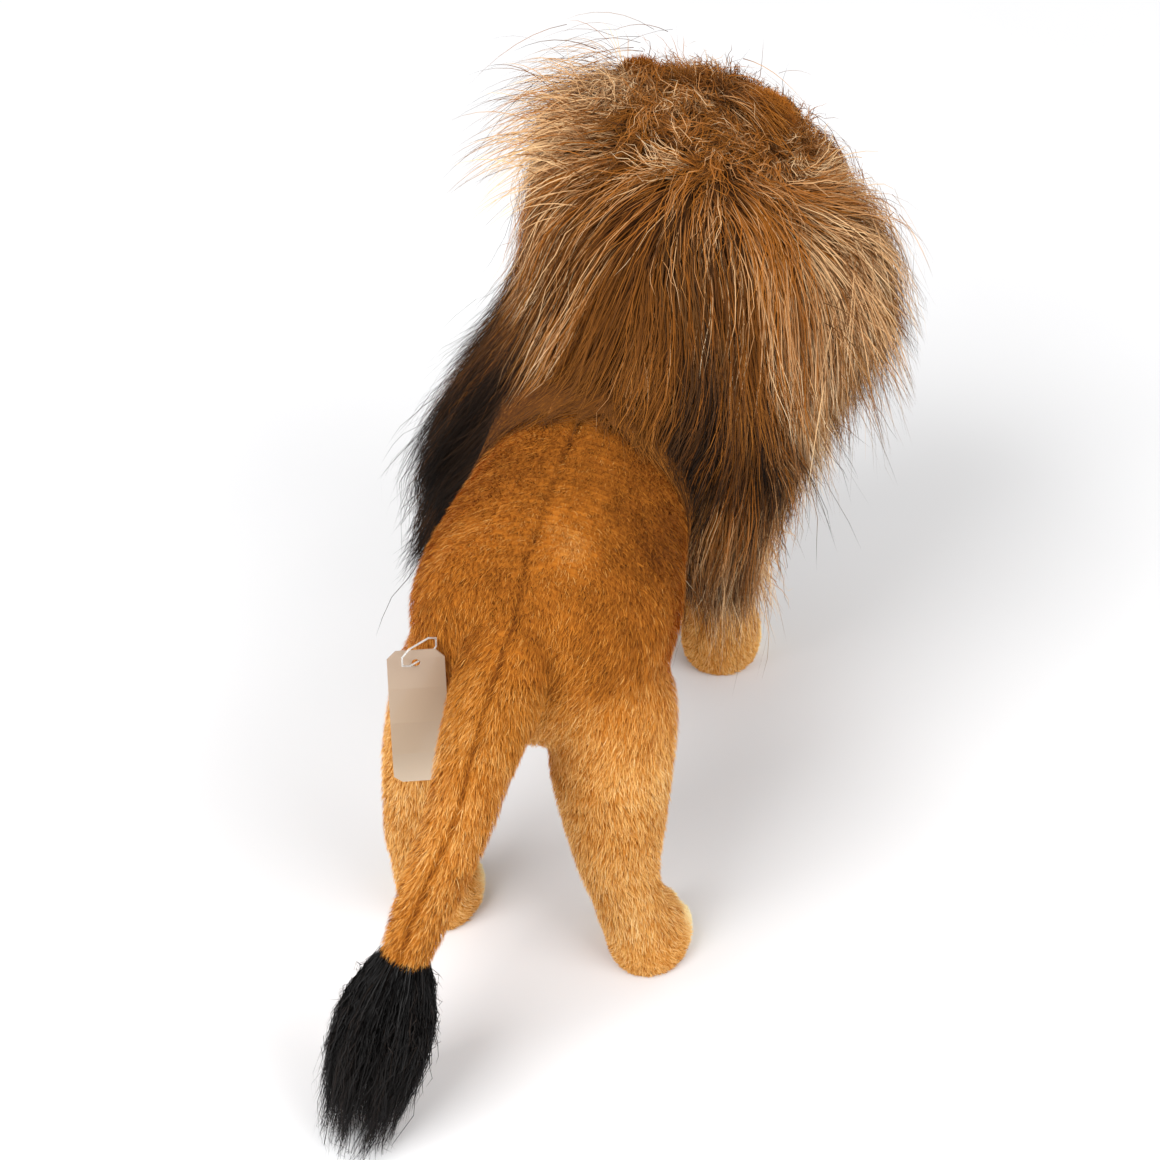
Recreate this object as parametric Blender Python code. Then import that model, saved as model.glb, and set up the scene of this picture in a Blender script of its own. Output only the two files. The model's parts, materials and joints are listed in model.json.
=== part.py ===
"""Standing plush lion: sewn pile skins over stuffing, a bent-wire frame, mane, tail, face and swing tag.

The lion faces -Y and stands on Z = 0. Lengths are in metres. The finished lion is centred on the origin.
Its legs, head and tail turn on the eyes and pins of the wire frame, inside ball-shaped limb tops.
"""

import math

import bmesh
import bpy
from mathutils import Matrix, Vector

# Sewing and fitting
clearance = 0.0003
joint_clearance = 0.0010
swing_gap = 0.0020
skin_thickness = 0.0024
cutter_overrun = 0.02
seam_gap = 0.0003

# Torso
torso_length = 0.2645
torso_half_width = 0.055
back_height = 0.217
rump_reach = 0.0145
belly_panel_half_width = 0.022
belly_panel_height = 0.140

# Hind legs, measured from the line of the hind heels
hip_height = 0.148
hip_forward = 0.024
hip_spread = 0.030
thigh_radius = 0.0263
hind_stagger = 0.006

# Front legs
wheelbase = 0.200
shoulder_height = 0.150
shoulder_forward = 0.0065
shoulder_spread = 0.033
upper_arm_radius = 0.0268
leg_swing = math.radians(8)

# Paws
paw_length = 0.047
paw_half_width = 0.0195
sole_thickness = 0.0032
sole_inset = 0.0045

# Sideways places of the leg centre lines, at hip, knee, hock, pastern and paw height
hind_left_knee = 0.041
hind_left_hock = 0.050
hind_left_pastern = 0.048
hind_left_paw = 0.046
hind_right_knee = 0.032
hind_right_hock = 0.037
hind_right_pastern = 0.044
hind_right_paw = 0.048
front_elbow = 0.038
front_wrist = 0.042
front_paw = 0.044

# Neck and head
neck_x = -0.014
neck_forward = 0.222
neck_height = 0.232
neck_radius = 0.033
head_x = -0.026
head_forward = 0.238
head_height = 0.2565
head_yaw = math.radians(18)
head_length = 0.116
head_half_width = 0.042
head_rise = 0.042
head_back = 0.040
muzzle_seam = 0.046

# Face
eye_radius = 0.0056
eye_spread = 0.0165
eye_forward = 0.0405
eye_rise = 0.0125
eye_stem_radius = 0.0015
eye_stem_length = 0.010
washer_wire = 0.0015
washer_gap = 0.0010
nose_half_width = 0.0095
nose_half_depth = 0.0050
nose_half_height = 0.0070
nose_drop = 0.0060
ear_half_width = 0.0135
ear_half_height = 0.0140
ear_half_depth = 0.0050
ear_spread = 0.0290
ear_back = 0.004
ear_rise = 0.033
ear_hollow = 0.0035
ear_room = 0.0185

# Mane, as the outer shape that the long pile fills
mane_x = -0.024
mane_reach = 0.106
mane_depth = 0.204
mane_back = 0.098
mane_height = 0.313
mane_split_height = 0.2180
mane_crown_half_width = 0.033
mane_face_line = 0.022
mane_crown_line = 0.006
leg_room_half_width = 0.0665
leg_room_radius = 0.060
bib_half_width = 0.058
bib_line = 0.232

# Tail
tail_root = Vector((0.003, 0.004, 0.1800))
tail_joint = Vector((0.0150, 0.0500, 0.1250))
tail_end = Vector((0.0315, 0.0730, 0.0740))
tuft_tip = Vector((0.0450, 0.1080, 0.0080))
tail_root_radius = 0.0190
tail_radius = 0.0150
tail_end_radius = 0.0100
tail_ball_radius = 0.0118
tail_rim = 0.0040
tail_swing = math.radians(12)
tail_opening_radius = 0.0060
tail_bow = 0.0035
tuft_radius = 0.0185

# Wire frame
wire_radius = 0.0013
pin_radius = 0.0015
pin_end = 0.0045
bend_radius = 0.0040
bend_share = 0.33
paw_wire_reach = 0.012
head_pin_reach = 0.012
head_wire_reach = 0.040
head_wire_drop = 0.0165
spine_rise = 0.0026
shoulder_rise = 0.034
neck_bend = 0.012
eye_reach = pin_radius + clearance + wire_radius
eye_outer = eye_reach + wire_radius
weld_distance = 0.000003
beyond = 0.5

# Swing tag
tag_length = 0.068
tag_width = 0.0225
tag_thickness = 0.0006
tag_corner = 0.0035
tag_hole_radius = 0.0018
tag_hole_drop = 0.0055
tag_height_share = 0.667
tag_centre = Vector((0.0395, 0.0115, tag_height_share * back_height))
tag_turn = math.radians(18)
tag_bow = 0.0030
tag_loop_radius = 0.0042
tag_loop_wire = 0.0004
tag_loop_reach = 0.0030

# Segment counts round the forms
torso_segments = 22
torso_inner_segments = 14
head_segments = 18
head_inner_segments = 12
mane_segments = 18
limb_segments = 12
limb_inner_segments = 10
small_segments = 8
cup_segments = 12
eye_socket_segments = 20
socket_segments = 18
eye_steps = 7
loop_steps = 4

# Each torso row: distance from the rump, half width, top and underside
torso_shares = (
    (0.010, 0.27, 0.842, 0.680),
    (0.045, 0.62, 0.912, 0.604),
    (0.115, 0.89, 0.957, 0.548),
    (0.207, 0.98, 0.972, 0.535),
    (0.320, 0.92, 0.978, 0.556),
    (0.470, 0.82, 0.985, 0.566),
    (0.620, 0.89, 0.997, 0.513),
    (0.749, 0.98, 1.000, 0.475),
    (0.855, 0.94, 0.973, 0.478),
    (0.945, 0.70, 0.904, 0.528),
    (0.990, 0.27, 0.802, 0.635),
)
torso_tips_share = (0.762, 0.719)
torso_widest_share = 0.54

# Each leg row: height, centre forward of the heel, half width and half depth
hind_leg_shares = (
    (0.000, 0.51, 0.86, 0.44),
    (0.027, 0.51, 0.96, 0.49),
    (0.081, 0.51, 0.98, 0.50),
    (0.149, 0.43, 0.93, 0.41),
    (0.216, 0.34, 0.83, 0.33),
    (0.311, 0.28, 0.82, 0.32),
    (0.419, 0.26, 0.92, 0.36),
    (0.554, 0.31, 1.10, 0.45),
    (0.689, 0.37, 1.25, 0.52),
    (0.824, 0.43, 1.35, 0.57),
)
front_leg_shares = (
    (0.000, 0.52, 0.87, 0.44),
    (0.027, 0.52, 0.99, 0.49),
    (0.080, 0.51, 1.02, 0.50),
    (0.147, 0.43, 0.97, 0.42),
    (0.227, 0.34, 0.87, 0.35),
    (0.333, 0.30, 0.85, 0.34),
    (0.500, 0.26, 0.92, 0.38),
    (0.667, 0.20, 1.08, 0.47),
    (0.833, 0.16, 1.28, 0.55),
)
# Heights at which a leg's centre line is placed sideways: paw, pastern, hock, knee, hip
lean_height_shares = (0.06, 0.16, 0.34, 0.68, 1.0)
dome_angles = tuple(math.radians(angle) for angle in (25, 49, 72))
# Turns a ball's own edges clear of the edges of what meets it
ball_turn = math.radians(13)
# Steeper folds than this between faces stay sharp
sharp_angle = math.radians(50)

# Rows down the upper and the lower tail: distance along it, bow and radius
tail_upper_shares = ((0.34, 0.7, 1.20), (0.66, 0.8, 1.02))
tail_lower_shares = ((0.14, 0.2, 0.88), (0.40, 0.8, 0.86), (0.74, 0.7, 0.78))
tail_rim_share = 0.93

# Each head row: distance from the back of the head, half width, top and underside
head_shares = (
    (0.017, 0.33, 0.38, -0.29),
    (0.069, 0.62, 0.67, -0.57),
    (0.172, 0.86, 0.88, -0.79),
    (0.319, 1.00, 1.00, -0.86),
    (0.466, 0.98, 0.97, -0.88),
    (0.586, 0.86, 0.80, -0.87),
    (0.672, 0.72, 0.56, -0.85),
    (0.759, 0.61, 0.36, -0.83),
    (0.862, 0.54, 0.23, -0.78),
    (0.940, 0.43, 0.11, -0.68),
    (0.983, 0.24, -0.03, -0.50),
)
head_tips_share = (0.05, -0.26)

# Each row of an eye: distance from its centre and radius. Then the way in which the stem points
eye_dome_shares = ((-0.90, 0.44), (-0.56, 0.83), (0.0, 1.0), (0.50, 0.87), (0.77, 0.64))
eye_aim_shares = (0.42, 0.90, 0.10)
# Heights of the card's rows, of half its length
tag_row_shares = (-1.0, -0.9, -0.5, 0.0, 0.5, 0.9, 1.0)

# Each mane row: height, sideways shift, half width, back edge and depth
mane_shares = (
    (0.304, 0.32, 0.68, 0.235, 0.57),
    (0.383, 0.31, 0.82, 0.085, 0.757),
    (0.479, 0.24, 0.80, 0.000, 0.89),
    (0.575, 0.11, 0.77, 0.009, 0.905),
    (0.671, -0.06, 0.79, 0.070, 0.849),
    (0.767, -0.10, 0.77, 0.163, 0.753),
    (0.875, -0.03, 0.70, 0.282, 0.575),
    (0.958, 0.09, 0.46, 0.440, 0.33),
)
mane_tips_share = (0.268, 1.000)

# Each tuft row: distance along the tuft and radius
tuft_shares = (
    (0.00, 0.50),
    (0.12, 0.72),
    (0.32, 0.98),
    (0.52, 1.00),
    (0.72, 0.72),
    (0.90, 0.34),
)

colours = {
    "pile_gold": (0.46, 0.20, 0.045, 1.0),
    "pile_leg": (0.52, 0.27, 0.075, 1.0),
    "pile_cream": (0.80, 0.62, 0.32, 1.0),
    "mane_tan": (0.26, 0.12, 0.045, 1.0),
    "mane_dark": (0.07, 0.035, 0.02, 1.0),
    "tuft_black": (0.01, 0.009, 0.009, 1.0),
    "fibre_fill": (0.85, 0.84, 0.80, 1.0),
    "steel_wire": (0.55, 0.55, 0.56, 1.0),
    "eye_amber": (0.45, 0.20, 0.02, 1.0),
    "nose_brown": (0.04, 0.02, 0.018, 1.0),
    "washer_plastic": (0.75, 0.75, 0.72, 1.0),
    "tag_card": (0.42, 0.35, 0.28, 1.0),
    "loop_plastic": (0.02, 0.02, 0.02, 1.0),
}
roughness_by_look = {"steel_wire": 0.35, "eye_amber": 0.08, "nose_brown": 0.35, "tag_card": 0.4}


def new_collection(name):
    """Makes a collection in the scene."""
    collection = bpy.data.collections.new(name)
    bpy.context.scene.collection.children.link(collection)
    return collection


def clear_scene():
    """Removes whatever the scene holds."""
    for thing in list(bpy.data.objects):
        bpy.data.objects.remove(thing, do_unlink=True)


clear_scene()
parts = new_collection("plush_lion")
cutters = new_collection("cutters")


def look(name):
    """One Principled material for each finish."""
    material = bpy.data.materials.get(name)
    if material is None:
        material = bpy.data.materials.new(name)
        material.use_nodes = True
        shader = material.node_tree.nodes["Principled BSDF"]
        shader.inputs["Base Color"].default_value = colours[name]
        shader.inputs["Roughness"].default_value = roughness_by_look.get(name, 0.9)
        shader.inputs["Metallic"].default_value = 1.0 if name == "steel_wire" else 0.0
        material.diffuse_color = colours[name]
    return material


def add_object(name, mesh, collection):
    """Puts a mesh in a collection; a cutter is drawn as wire and left out of the part."""
    thing = bpy.data.objects.new(name, mesh)
    collection.objects.link(thing)
    if collection is cutters:
        thing.hide_render = True
        thing.display_type = "WIRE"
    return thing


def oval_ring(centre, side, up, down, count):
    """Points of a closed section with its own upper and lower half height."""
    points = []
    for step in range(count):
        angle = 2 * math.pi * step / count
        height = math.sin(angle)
        points.append(centre + side * math.cos(angle) + (up if height > 0 else down) * height)
    return points


def loft(name, rings, start, finish, grow=0.0):
    """Closed form through rings of points. An end is a tip point, or None for a flat face."""
    mesh = bpy.data.meshes.new(name)
    work = bmesh.new()
    rows = [[work.verts.new(point) for point in ring] for ring in rings]
    count = len(rings[0])
    for near, far in zip(rows, rows[1:]):
        for step in range(count):
            after = (step + 1) % count
            work.faces.new((near[step], near[after], far[after], far[step]))
    for row, tip in ((rows[0], start), (rows[-1], finish)):
        if tip is None:
            work.faces.new(row)
            continue
        apex = work.verts.new(tip)
        for step in range(count):
            work.faces.new((row[step], row[(step + 1) % count], apex))
    bmesh.ops.recalc_face_normals(work, faces=work.faces)
    work.normal_update()
    moves = [(vertex, vertex.normal.copy()) for vertex in work.verts]
    for vertex, normal in moves:
        vertex.co += normal * grow
    work.to_mesh(mesh)
    work.free()
    return add_object(name, mesh, cutters)


def ball(name, centre, radius, scale=(1.0, 1.0, 1.0), count=16, turn=ball_turn):
    """Sphere or ellipsoid about a centre, turned about the vertical."""
    mesh = bpy.data.meshes.new(name)
    work = bmesh.new()
    bmesh.ops.create_uvsphere(work, u_segments=count, v_segments=count // 2, radius=radius)
    place = Matrix.Translation(centre) @ Matrix.Rotation(turn, 4, "Z") @ Matrix.Diagonal((*scale, 1.0))
    bmesh.ops.transform(work, matrix=place, verts=work.verts)
    work.to_mesh(mesh)
    work.free()
    return add_object(name, mesh, cutters)


def box(name, low, high, turn=0.0, about=Vector((0.0, 0.0, 0.0))):
    """Box between two corners, turned about a vertical line through a point."""
    mesh = bpy.data.meshes.new(name)
    work = bmesh.new()
    bmesh.ops.create_cube(work, size=1.0)
    low, high = Vector(low), Vector(high)
    span = high - low
    place = Matrix.Translation((low + high) / 2) @ Matrix.Diagonal((*span, 1.0))
    spin = Matrix.Translation(about) @ Matrix.Rotation(turn, 4, "Z")
    bmesh.ops.transform(work, matrix=spin @ place, verts=work.verts)
    work.to_mesh(mesh)
    work.free()
    return add_object(name, mesh, cutters)


def rod(name, start, finish, radius, count=small_segments):
    """Straight round bar between two points."""
    mesh = bpy.data.meshes.new(name)
    work = bmesh.new()
    start, finish = Vector(start), Vector(finish)
    along = finish - start
    bmesh.ops.create_cone(
        work, cap_ends=True, segments=count, radius1=radius, radius2=radius, depth=along.length
    )
    place = Matrix.Translation((start + finish) / 2) @ along.to_track_quat("Z", "Y").to_matrix().to_4x4()
    bmesh.ops.transform(work, matrix=place, verts=work.verts)
    work.to_mesh(mesh)
    work.free()
    return add_object(name, mesh, cutters)


def rounded(points):
    """The same path with each corner bent on a small radius instead of sharp."""
    path = [points[0]]
    for before, corner, after in zip(points, points[1:], points[2:]):
        reach = min(bend_radius, bend_share * (before - corner).length, bend_share * (after - corner).length)
        path.append(corner + (before - corner).normalized() * reach)
        path.append(corner + (after - corner).normalized() * reach)
    path.append(points[-1])
    return path


def longer(points):
    """The same path with a clearance beyond its last point."""
    return points[:-1] + [points[-1] + (points[-1] - points[-2]).normalized() * clearance]


def bent_wire(name, points, radius, closed=False):
    """Round wire along points: a curve with a bevel, made a mesh with its caps welded."""
    curve = bpy.data.curves.new(name, "CURVE")
    curve.dimensions = "3D"
    curve.bevel_depth = radius
    curve.bevel_resolution = 1
    curve.use_fill_caps = True
    spline = curve.splines.new("POLY")
    spline.points.add(len(points) - 1)
    for place, point in zip(spline.points, points):
        place.co = (*point, 1.0)
    spline.use_cyclic_u = closed
    guide = bpy.data.objects.new(name + "_guide", curve)
    cutters.objects.link(guide)
    bpy.context.view_layer.update()
    graph = bpy.context.evaluated_depsgraph_get()
    mesh = bpy.data.meshes.new_from_object(guide.evaluated_get(graph))
    work = bmesh.new()
    work.from_mesh(mesh)
    bmesh.ops.remove_doubles(work, verts=work.verts, dist=weld_distance)
    bmesh.ops.recalc_face_normals(work, faces=work.faces)
    work.to_mesh(mesh)
    work.free()
    bpy.data.objects.remove(guide, do_unlink=True)
    return add_object(name, mesh, cutters)


def combine(base, tools, operation="DIFFERENCE", solver="EXACT"):
    """Applies booleans to the base, one tool after another, and returns the base."""
    for tool in tools:
        step = base.modifiers.new(tool.name, "BOOLEAN")
        step.operation = operation
        step.solver = solver
        step.object = tool
    bpy.context.view_layer.update()
    graph = bpy.context.evaluated_depsgraph_get()
    mesh = bpy.data.meshes.new_from_object(base.evaluated_get(graph))
    base.modifiers.clear()
    base.data = mesh
    return base


def keep_main_body(thing):
    """Drops the slivers that a cut leaves beside the main body."""
    work = bmesh.new()
    work.from_mesh(thing.data)
    unseen = set(work.verts)
    groups = []
    while unseen:
        front = [unseen.pop()]
        group = set(front)
        while front:
            vertex = front.pop()
            for edge in vertex.link_edges:
                other = edge.other_vert(vertex)
                if other in unseen:
                    unseen.remove(other)
                    group.add(other)
                    front.append(other)
        groups.append(group)
    groups.sort(key=len)
    for group in groups[:-1]:
        bmesh.ops.delete(work, geom=list(group), context="VERTS")
    work.to_mesh(thing.data)
    work.free()


def finish_piece(thing, finish, origin):
    """Turns a worked shape into a piece of the lion, with its own material and its origin on its joint."""
    keep_main_body(thing)
    cutters.objects.unlink(thing)
    parts.objects.link(thing)
    thing.hide_render = False
    thing.display_type = "TEXTURED"
    thing.data.name = thing.name
    thing.data.materials.clear()
    thing.data.materials.append(look(finish))
    thing.data.transform(Matrix.Translation(-Vector(origin)))
    thing.location = origin
    thing.data.shade_smooth()
    thing.data.set_sharp_from_angle(angle=sharp_angle)
    return thing


# Torso


def torso_form(name, grow=0.0):
    """The whole torso, rump to chest. Its inside forms are coarser."""
    count = torso_segments if grow >= 0 else torso_inner_segments
    rings = []
    for along, width, top, low in torso_shares:
        top_height, low_height = top * back_height, low * back_height
        middle = low_height + torso_widest_share * (top_height - low_height)
        rings.append(
            oval_ring(
                Vector((0.0, rump_reach - along * torso_length, middle)),
                Vector((width * torso_half_width, 0.0, 0.0)),
                Vector((0.0, 0.0, top_height - middle)),
                Vector((0.0, 0.0, middle - low_height)),
                count,
            )
        )
    rump_tip = Vector((0.0, rump_reach, torso_tips_share[0] * back_height))
    chest_tip = Vector((0.0, rump_reach - torso_length, torso_tips_share[1] * back_height))
    return loft(name, rings, rump_tip, chest_tip, grow)


# Legs


class Leg:
    """Places of one leg: its pivot on the cross wire, its heel, and the lean of its centre line."""

    def __init__(self, name, side, hind):
        self.name = name
        self.hind = hind
        self.side = side
        self.shares = hind_leg_shares if hind else front_leg_shares
        self.radius = thigh_radius if hind else upper_arm_radius
        height = hip_height if hind else shoulder_height
        spread = hip_spread if hind else shoulder_spread
        if hind:
            self.heel = -hind_stagger if side > 0 else 0.0
            pivot_y = -hip_forward
            places = (
                (hind_left_paw, hind_left_pastern, hind_left_hock, hind_left_knee, hip_spread)
                if side > 0
                else (hind_right_paw, hind_right_pastern, hind_right_hock, hind_right_knee, hip_spread)
            )
        else:
            self.heel = -wheelbase
            pivot_y = self.heel - shoulder_forward
            places = (front_paw, front_paw, front_wrist, front_elbow, shoulder_spread)
        self.pivot = Vector((side * spread, pivot_y, height))
        self.places = [side * place for place in places]

    def centre_x(self, share):
        """Sideways place of the centre line at a share of the pivot's height."""
        if share <= lean_height_shares[0]:
            return self.places[0]
        for low, high, near, far in zip(
            lean_height_shares, lean_height_shares[1:], self.places, self.places[1:]
        ):
            if share <= high:
                step = (share - low) / (high - low)
                return near + (far - near) * step * step * (3 - 2 * step)
        return self.places[-1]

    def centre(self, share, forward_share):
        """Centre of a row of the leg."""
        return Vector(
            (self.centre_x(share), self.heel - forward_share * paw_length, share * self.pivot.z)
        )

    def pivot_ring(self, radius, count, rise=0.0):
        """Level round section above or at the pivot."""
        along = Vector((0.0, radius, 0.0))
        centre = self.pivot + Vector((0.0, 0.0, rise))
        return oval_ring(centre, Vector((radius, 0.0, 0.0)), along, along, count)

    def form(self, name, grow=0.0, swing_room=False):
        """The leg with its ball-shaped top, or below the pivot the room in which it swings."""
        count = limb_segments if grow >= 0 else limb_inner_segments
        rings = []
        for share, forward, width, depth in self.shares:
            half_depth = depth * paw_length
            half_width = width * paw_half_width
            if swing_room:
                half_depth += (1 - share) * self.pivot.z * math.tan(leg_swing) + swing_gap
                half_width += swing_gap
            rings.append(
                oval_ring(
                    self.centre(share, forward),
                    Vector((half_width, 0.0, 0.0)),
                    Vector((0.0, half_depth, 0.0)),
                    Vector((0.0, half_depth, 0.0)),
                    count,
                )
            )
        if swing_room:
            reach = self.radius + swing_gap
            rings.append(self.pivot_ring(reach, count, reach * math.sin(leg_swing)))
            return loft(name, rings, None, None)
        for angle in (0.0, *dome_angles):
            reach = self.radius * math.cos(angle)
            rings.append(self.pivot_ring(reach, count, self.radius * math.sin(angle)))
        top = self.pivot + Vector((0.0, 0.0, self.radius))
        return loft(name, rings, None, top, grow)

    def sole_form(self, name, grow=0.0):
        """Flat oval patch under the paw."""
        share, forward, width, depth = self.shares[1]
        centre = self.centre(share, forward)
        side = Vector((width * paw_half_width - sole_inset, 0.0, 0.0))
        along = Vector((0.0, depth * paw_length - sole_inset, 0.0))
        base = Vector((centre.x, centre.y, 0.0))
        rise = Vector((0.0, 0.0, sole_thickness))
        rings = [oval_ring(base, side, along, along, limb_segments)]
        rings.append(oval_ring(base + rise, side, along, along, limb_segments))
        return loft(name, rings, None, None, grow)

    def wire_points(self):
        """Wire from an eye round the cross wire, down the leg and along the paw."""
        points = eye_points(self.pivot, Vector((0.0, 1.0, 0.0)), Vector((0.0, 0.0, 1.0)))
        for share, forward, _, _ in reversed(self.shares[3:-1]):
            points.append(self.centre(share, forward))
        points.append(points[-1] + Vector((0.0, -paw_wire_reach, 0.0)))
        return points


def eye_points(centre, across, up):
    """Nearly closed loop of wire round a pin, in the plane of two directions, then its stem below."""
    points = []
    for step in range(eye_steps):
        angle = -math.pi / 2 + 2 * math.pi * (step + 1) / (eye_steps + 1)
        points.append(centre + across * (eye_reach * math.cos(angle)) + up * (eye_reach * math.sin(angle)))
    points.append(centre - up * (eye_outer + wire_radius))
    return points


legs = [
    Leg("leg_hind_left", 1, True),
    Leg("leg_hind_right", -1, True),
    Leg("leg_front_left", 1, False),
    Leg("leg_front_right", -1, False),
]


def eye_pocket(name, centre, axis):
    """Room for a wire eye and the pin through it."""
    half = Vector(axis) * (pin_end + clearance)
    return rod(name, centre - half, centre + half, eye_outer + clearance)


def leg_cutters(leg):
    """What the torso gives up for a leg: its ball and the room for its swing."""
    room = leg.form(leg.name + "_room", swing_room=True)
    socket = ball(leg.name + "_socket", leg.pivot, leg.radius + joint_clearance, count=socket_segments)
    return [socket, room]


def build_leg(leg, cross_wire_bore):
    """Skin, stuffing, wire and sole of one leg."""
    cavity = leg.form(leg.name + "_cavity", -skin_thickness)
    sole_room = leg.sole_form(leg.name + "_sole_room", clearance)
    opening = rod(
        leg.name + "_opening",
        leg.pivot,
        leg.pivot - Vector((leg.side * (leg.radius + clearance), 0.0, 0.0)),
        eye_outer + clearance,
    )
    skin = leg.form(leg.name + "_skin")
    combine(skin, [cavity, sole_room, opening])
    finish_piece(skin, "pile_leg", leg.pivot)

    wire = bent_wire(leg.name + "_wire", leg.wire_points(), wire_radius)
    wire_bore = bent_wire(leg.name + "_wire_bore", longer(leg.wire_points()), wire_radius + clearance)
    pocket = eye_pocket(leg.name + "_eye_pocket", leg.pivot, (1.0, 0.0, 0.0))
    stuffing = leg.form(leg.name + "_stuffing", -skin_thickness - clearance)
    combine(stuffing, [sole_room, pocket, cross_wire_bore, wire_bore])
    finish_piece(stuffing, "fibre_fill", leg.pivot)
    finish_piece(wire, "steel_wire", leg.pivot)
    sole = leg.sole_form(leg.name + "_sole")
    finish_piece(sole, "pile_cream", leg.pivot)


# Tail


def round_ring(centre, along, radius, count=limb_segments):
    """Round section square to a direction."""
    side = (Vector((1.0, 0.0, 0.0)) - along * along.x).normalized()
    up = along.cross(side)
    return oval_ring(centre, side * radius, up * radius, up * radius, count)


def dome_rings(centre, along, radius, count):
    """Sections of a half ball that faces back along a direction."""
    rings = []
    for angle in reversed(dome_angles):
        place = centre - along * (radius * math.sin(angle))
        rings.append(round_ring(place, along, radius * math.cos(angle), count))
    rings.append(round_ring(centre, along, radius, count))
    return rings


def outward_of(along):
    """Direction square to the tail, away from the legs."""
    outward = Vector((0.0, 1.0, 0.0)) - along * along.y
    return outward.normalized()


def tail_upper_rows():
    """Centre and radius of the upper tail's sections below its ball."""
    run = tail_joint - tail_root
    along = run.normalized()
    bow = outward_of(along) * tail_bow
    rows = [(tail_root, tail_root_radius)]
    for share, bow_share, width in tail_upper_shares:
        rows.append((tail_root + run * share + bow * bow_share, width * tail_radius))
    rows.append((tail_joint - along * tail_rim, tail_rim_share * tail_radius))
    return rows, along


def tail_upper_form(name, grow=0.0):
    """Upper tail, from its ball in the rump to its rim."""
    count = limb_segments if grow >= 0 else limb_inner_segments
    rows, along = tail_upper_rows()
    rings = dome_rings(tail_root, along, tail_root_radius, count)
    for centre, radius in rows[1:]:
        rings.append(round_ring(centre, along, radius, count))
    return loft(name, rings, tail_root - along * tail_root_radius, None, grow)


def tail_swing_room(name):
    """Space that the upper tail sweeps beside the rump."""
    rows, along = tail_upper_rows()
    rings = []
    for centre, radius in rows:
        reach = (centre - tail_root).xy.length * math.sin(tail_swing)
        half = radius + swing_gap
        side = (Vector((1.0, 0.0, 0.0)) - along * along.x).normalized()
        up = along.cross(side) * (half * (1 + math.sin(tail_swing) / 2))
        rings.append(oval_ring(centre, side * (half + reach), up, up, limb_segments))
    return loft(name, rings, None, None)


def tail_lower_form(name, grow=0.0):
    """Lower tail, from its ball in the upper tail's cup to the tuft."""
    run = tail_end - tail_joint
    along = run.normalized()
    bow = outward_of(along) * -tail_bow
    count = limb_segments if grow >= 0 else limb_inner_segments
    rings = dome_rings(tail_joint, along, tail_ball_radius, count)
    for share, bow_share, width in tail_lower_shares:
        place = tail_joint + run * share + bow * bow_share
        rings.append(round_ring(place, along, width * tail_radius, count))
    rings.append(round_ring(tail_end, along, tail_end_radius, count))
    return loft(name, rings, tail_joint - along * tail_ball_radius, None, grow)


def tuft_form(name):
    """Long-haired tuft at the tail's end."""
    run = tuft_tip - tail_end
    start = (tail_end - tail_joint).normalized()
    along = run.normalized()
    rings = []
    for share, width in tuft_shares:
        facing = start.lerp(along, min(1.0, share / tuft_shares[1][0])).normalized()
        place = tail_end + start * clearance + run * share
        rings.append(round_ring(place, facing, width * tuft_radius, small_segments))
    return loft(name, rings, None, tuft_tip)


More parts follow.
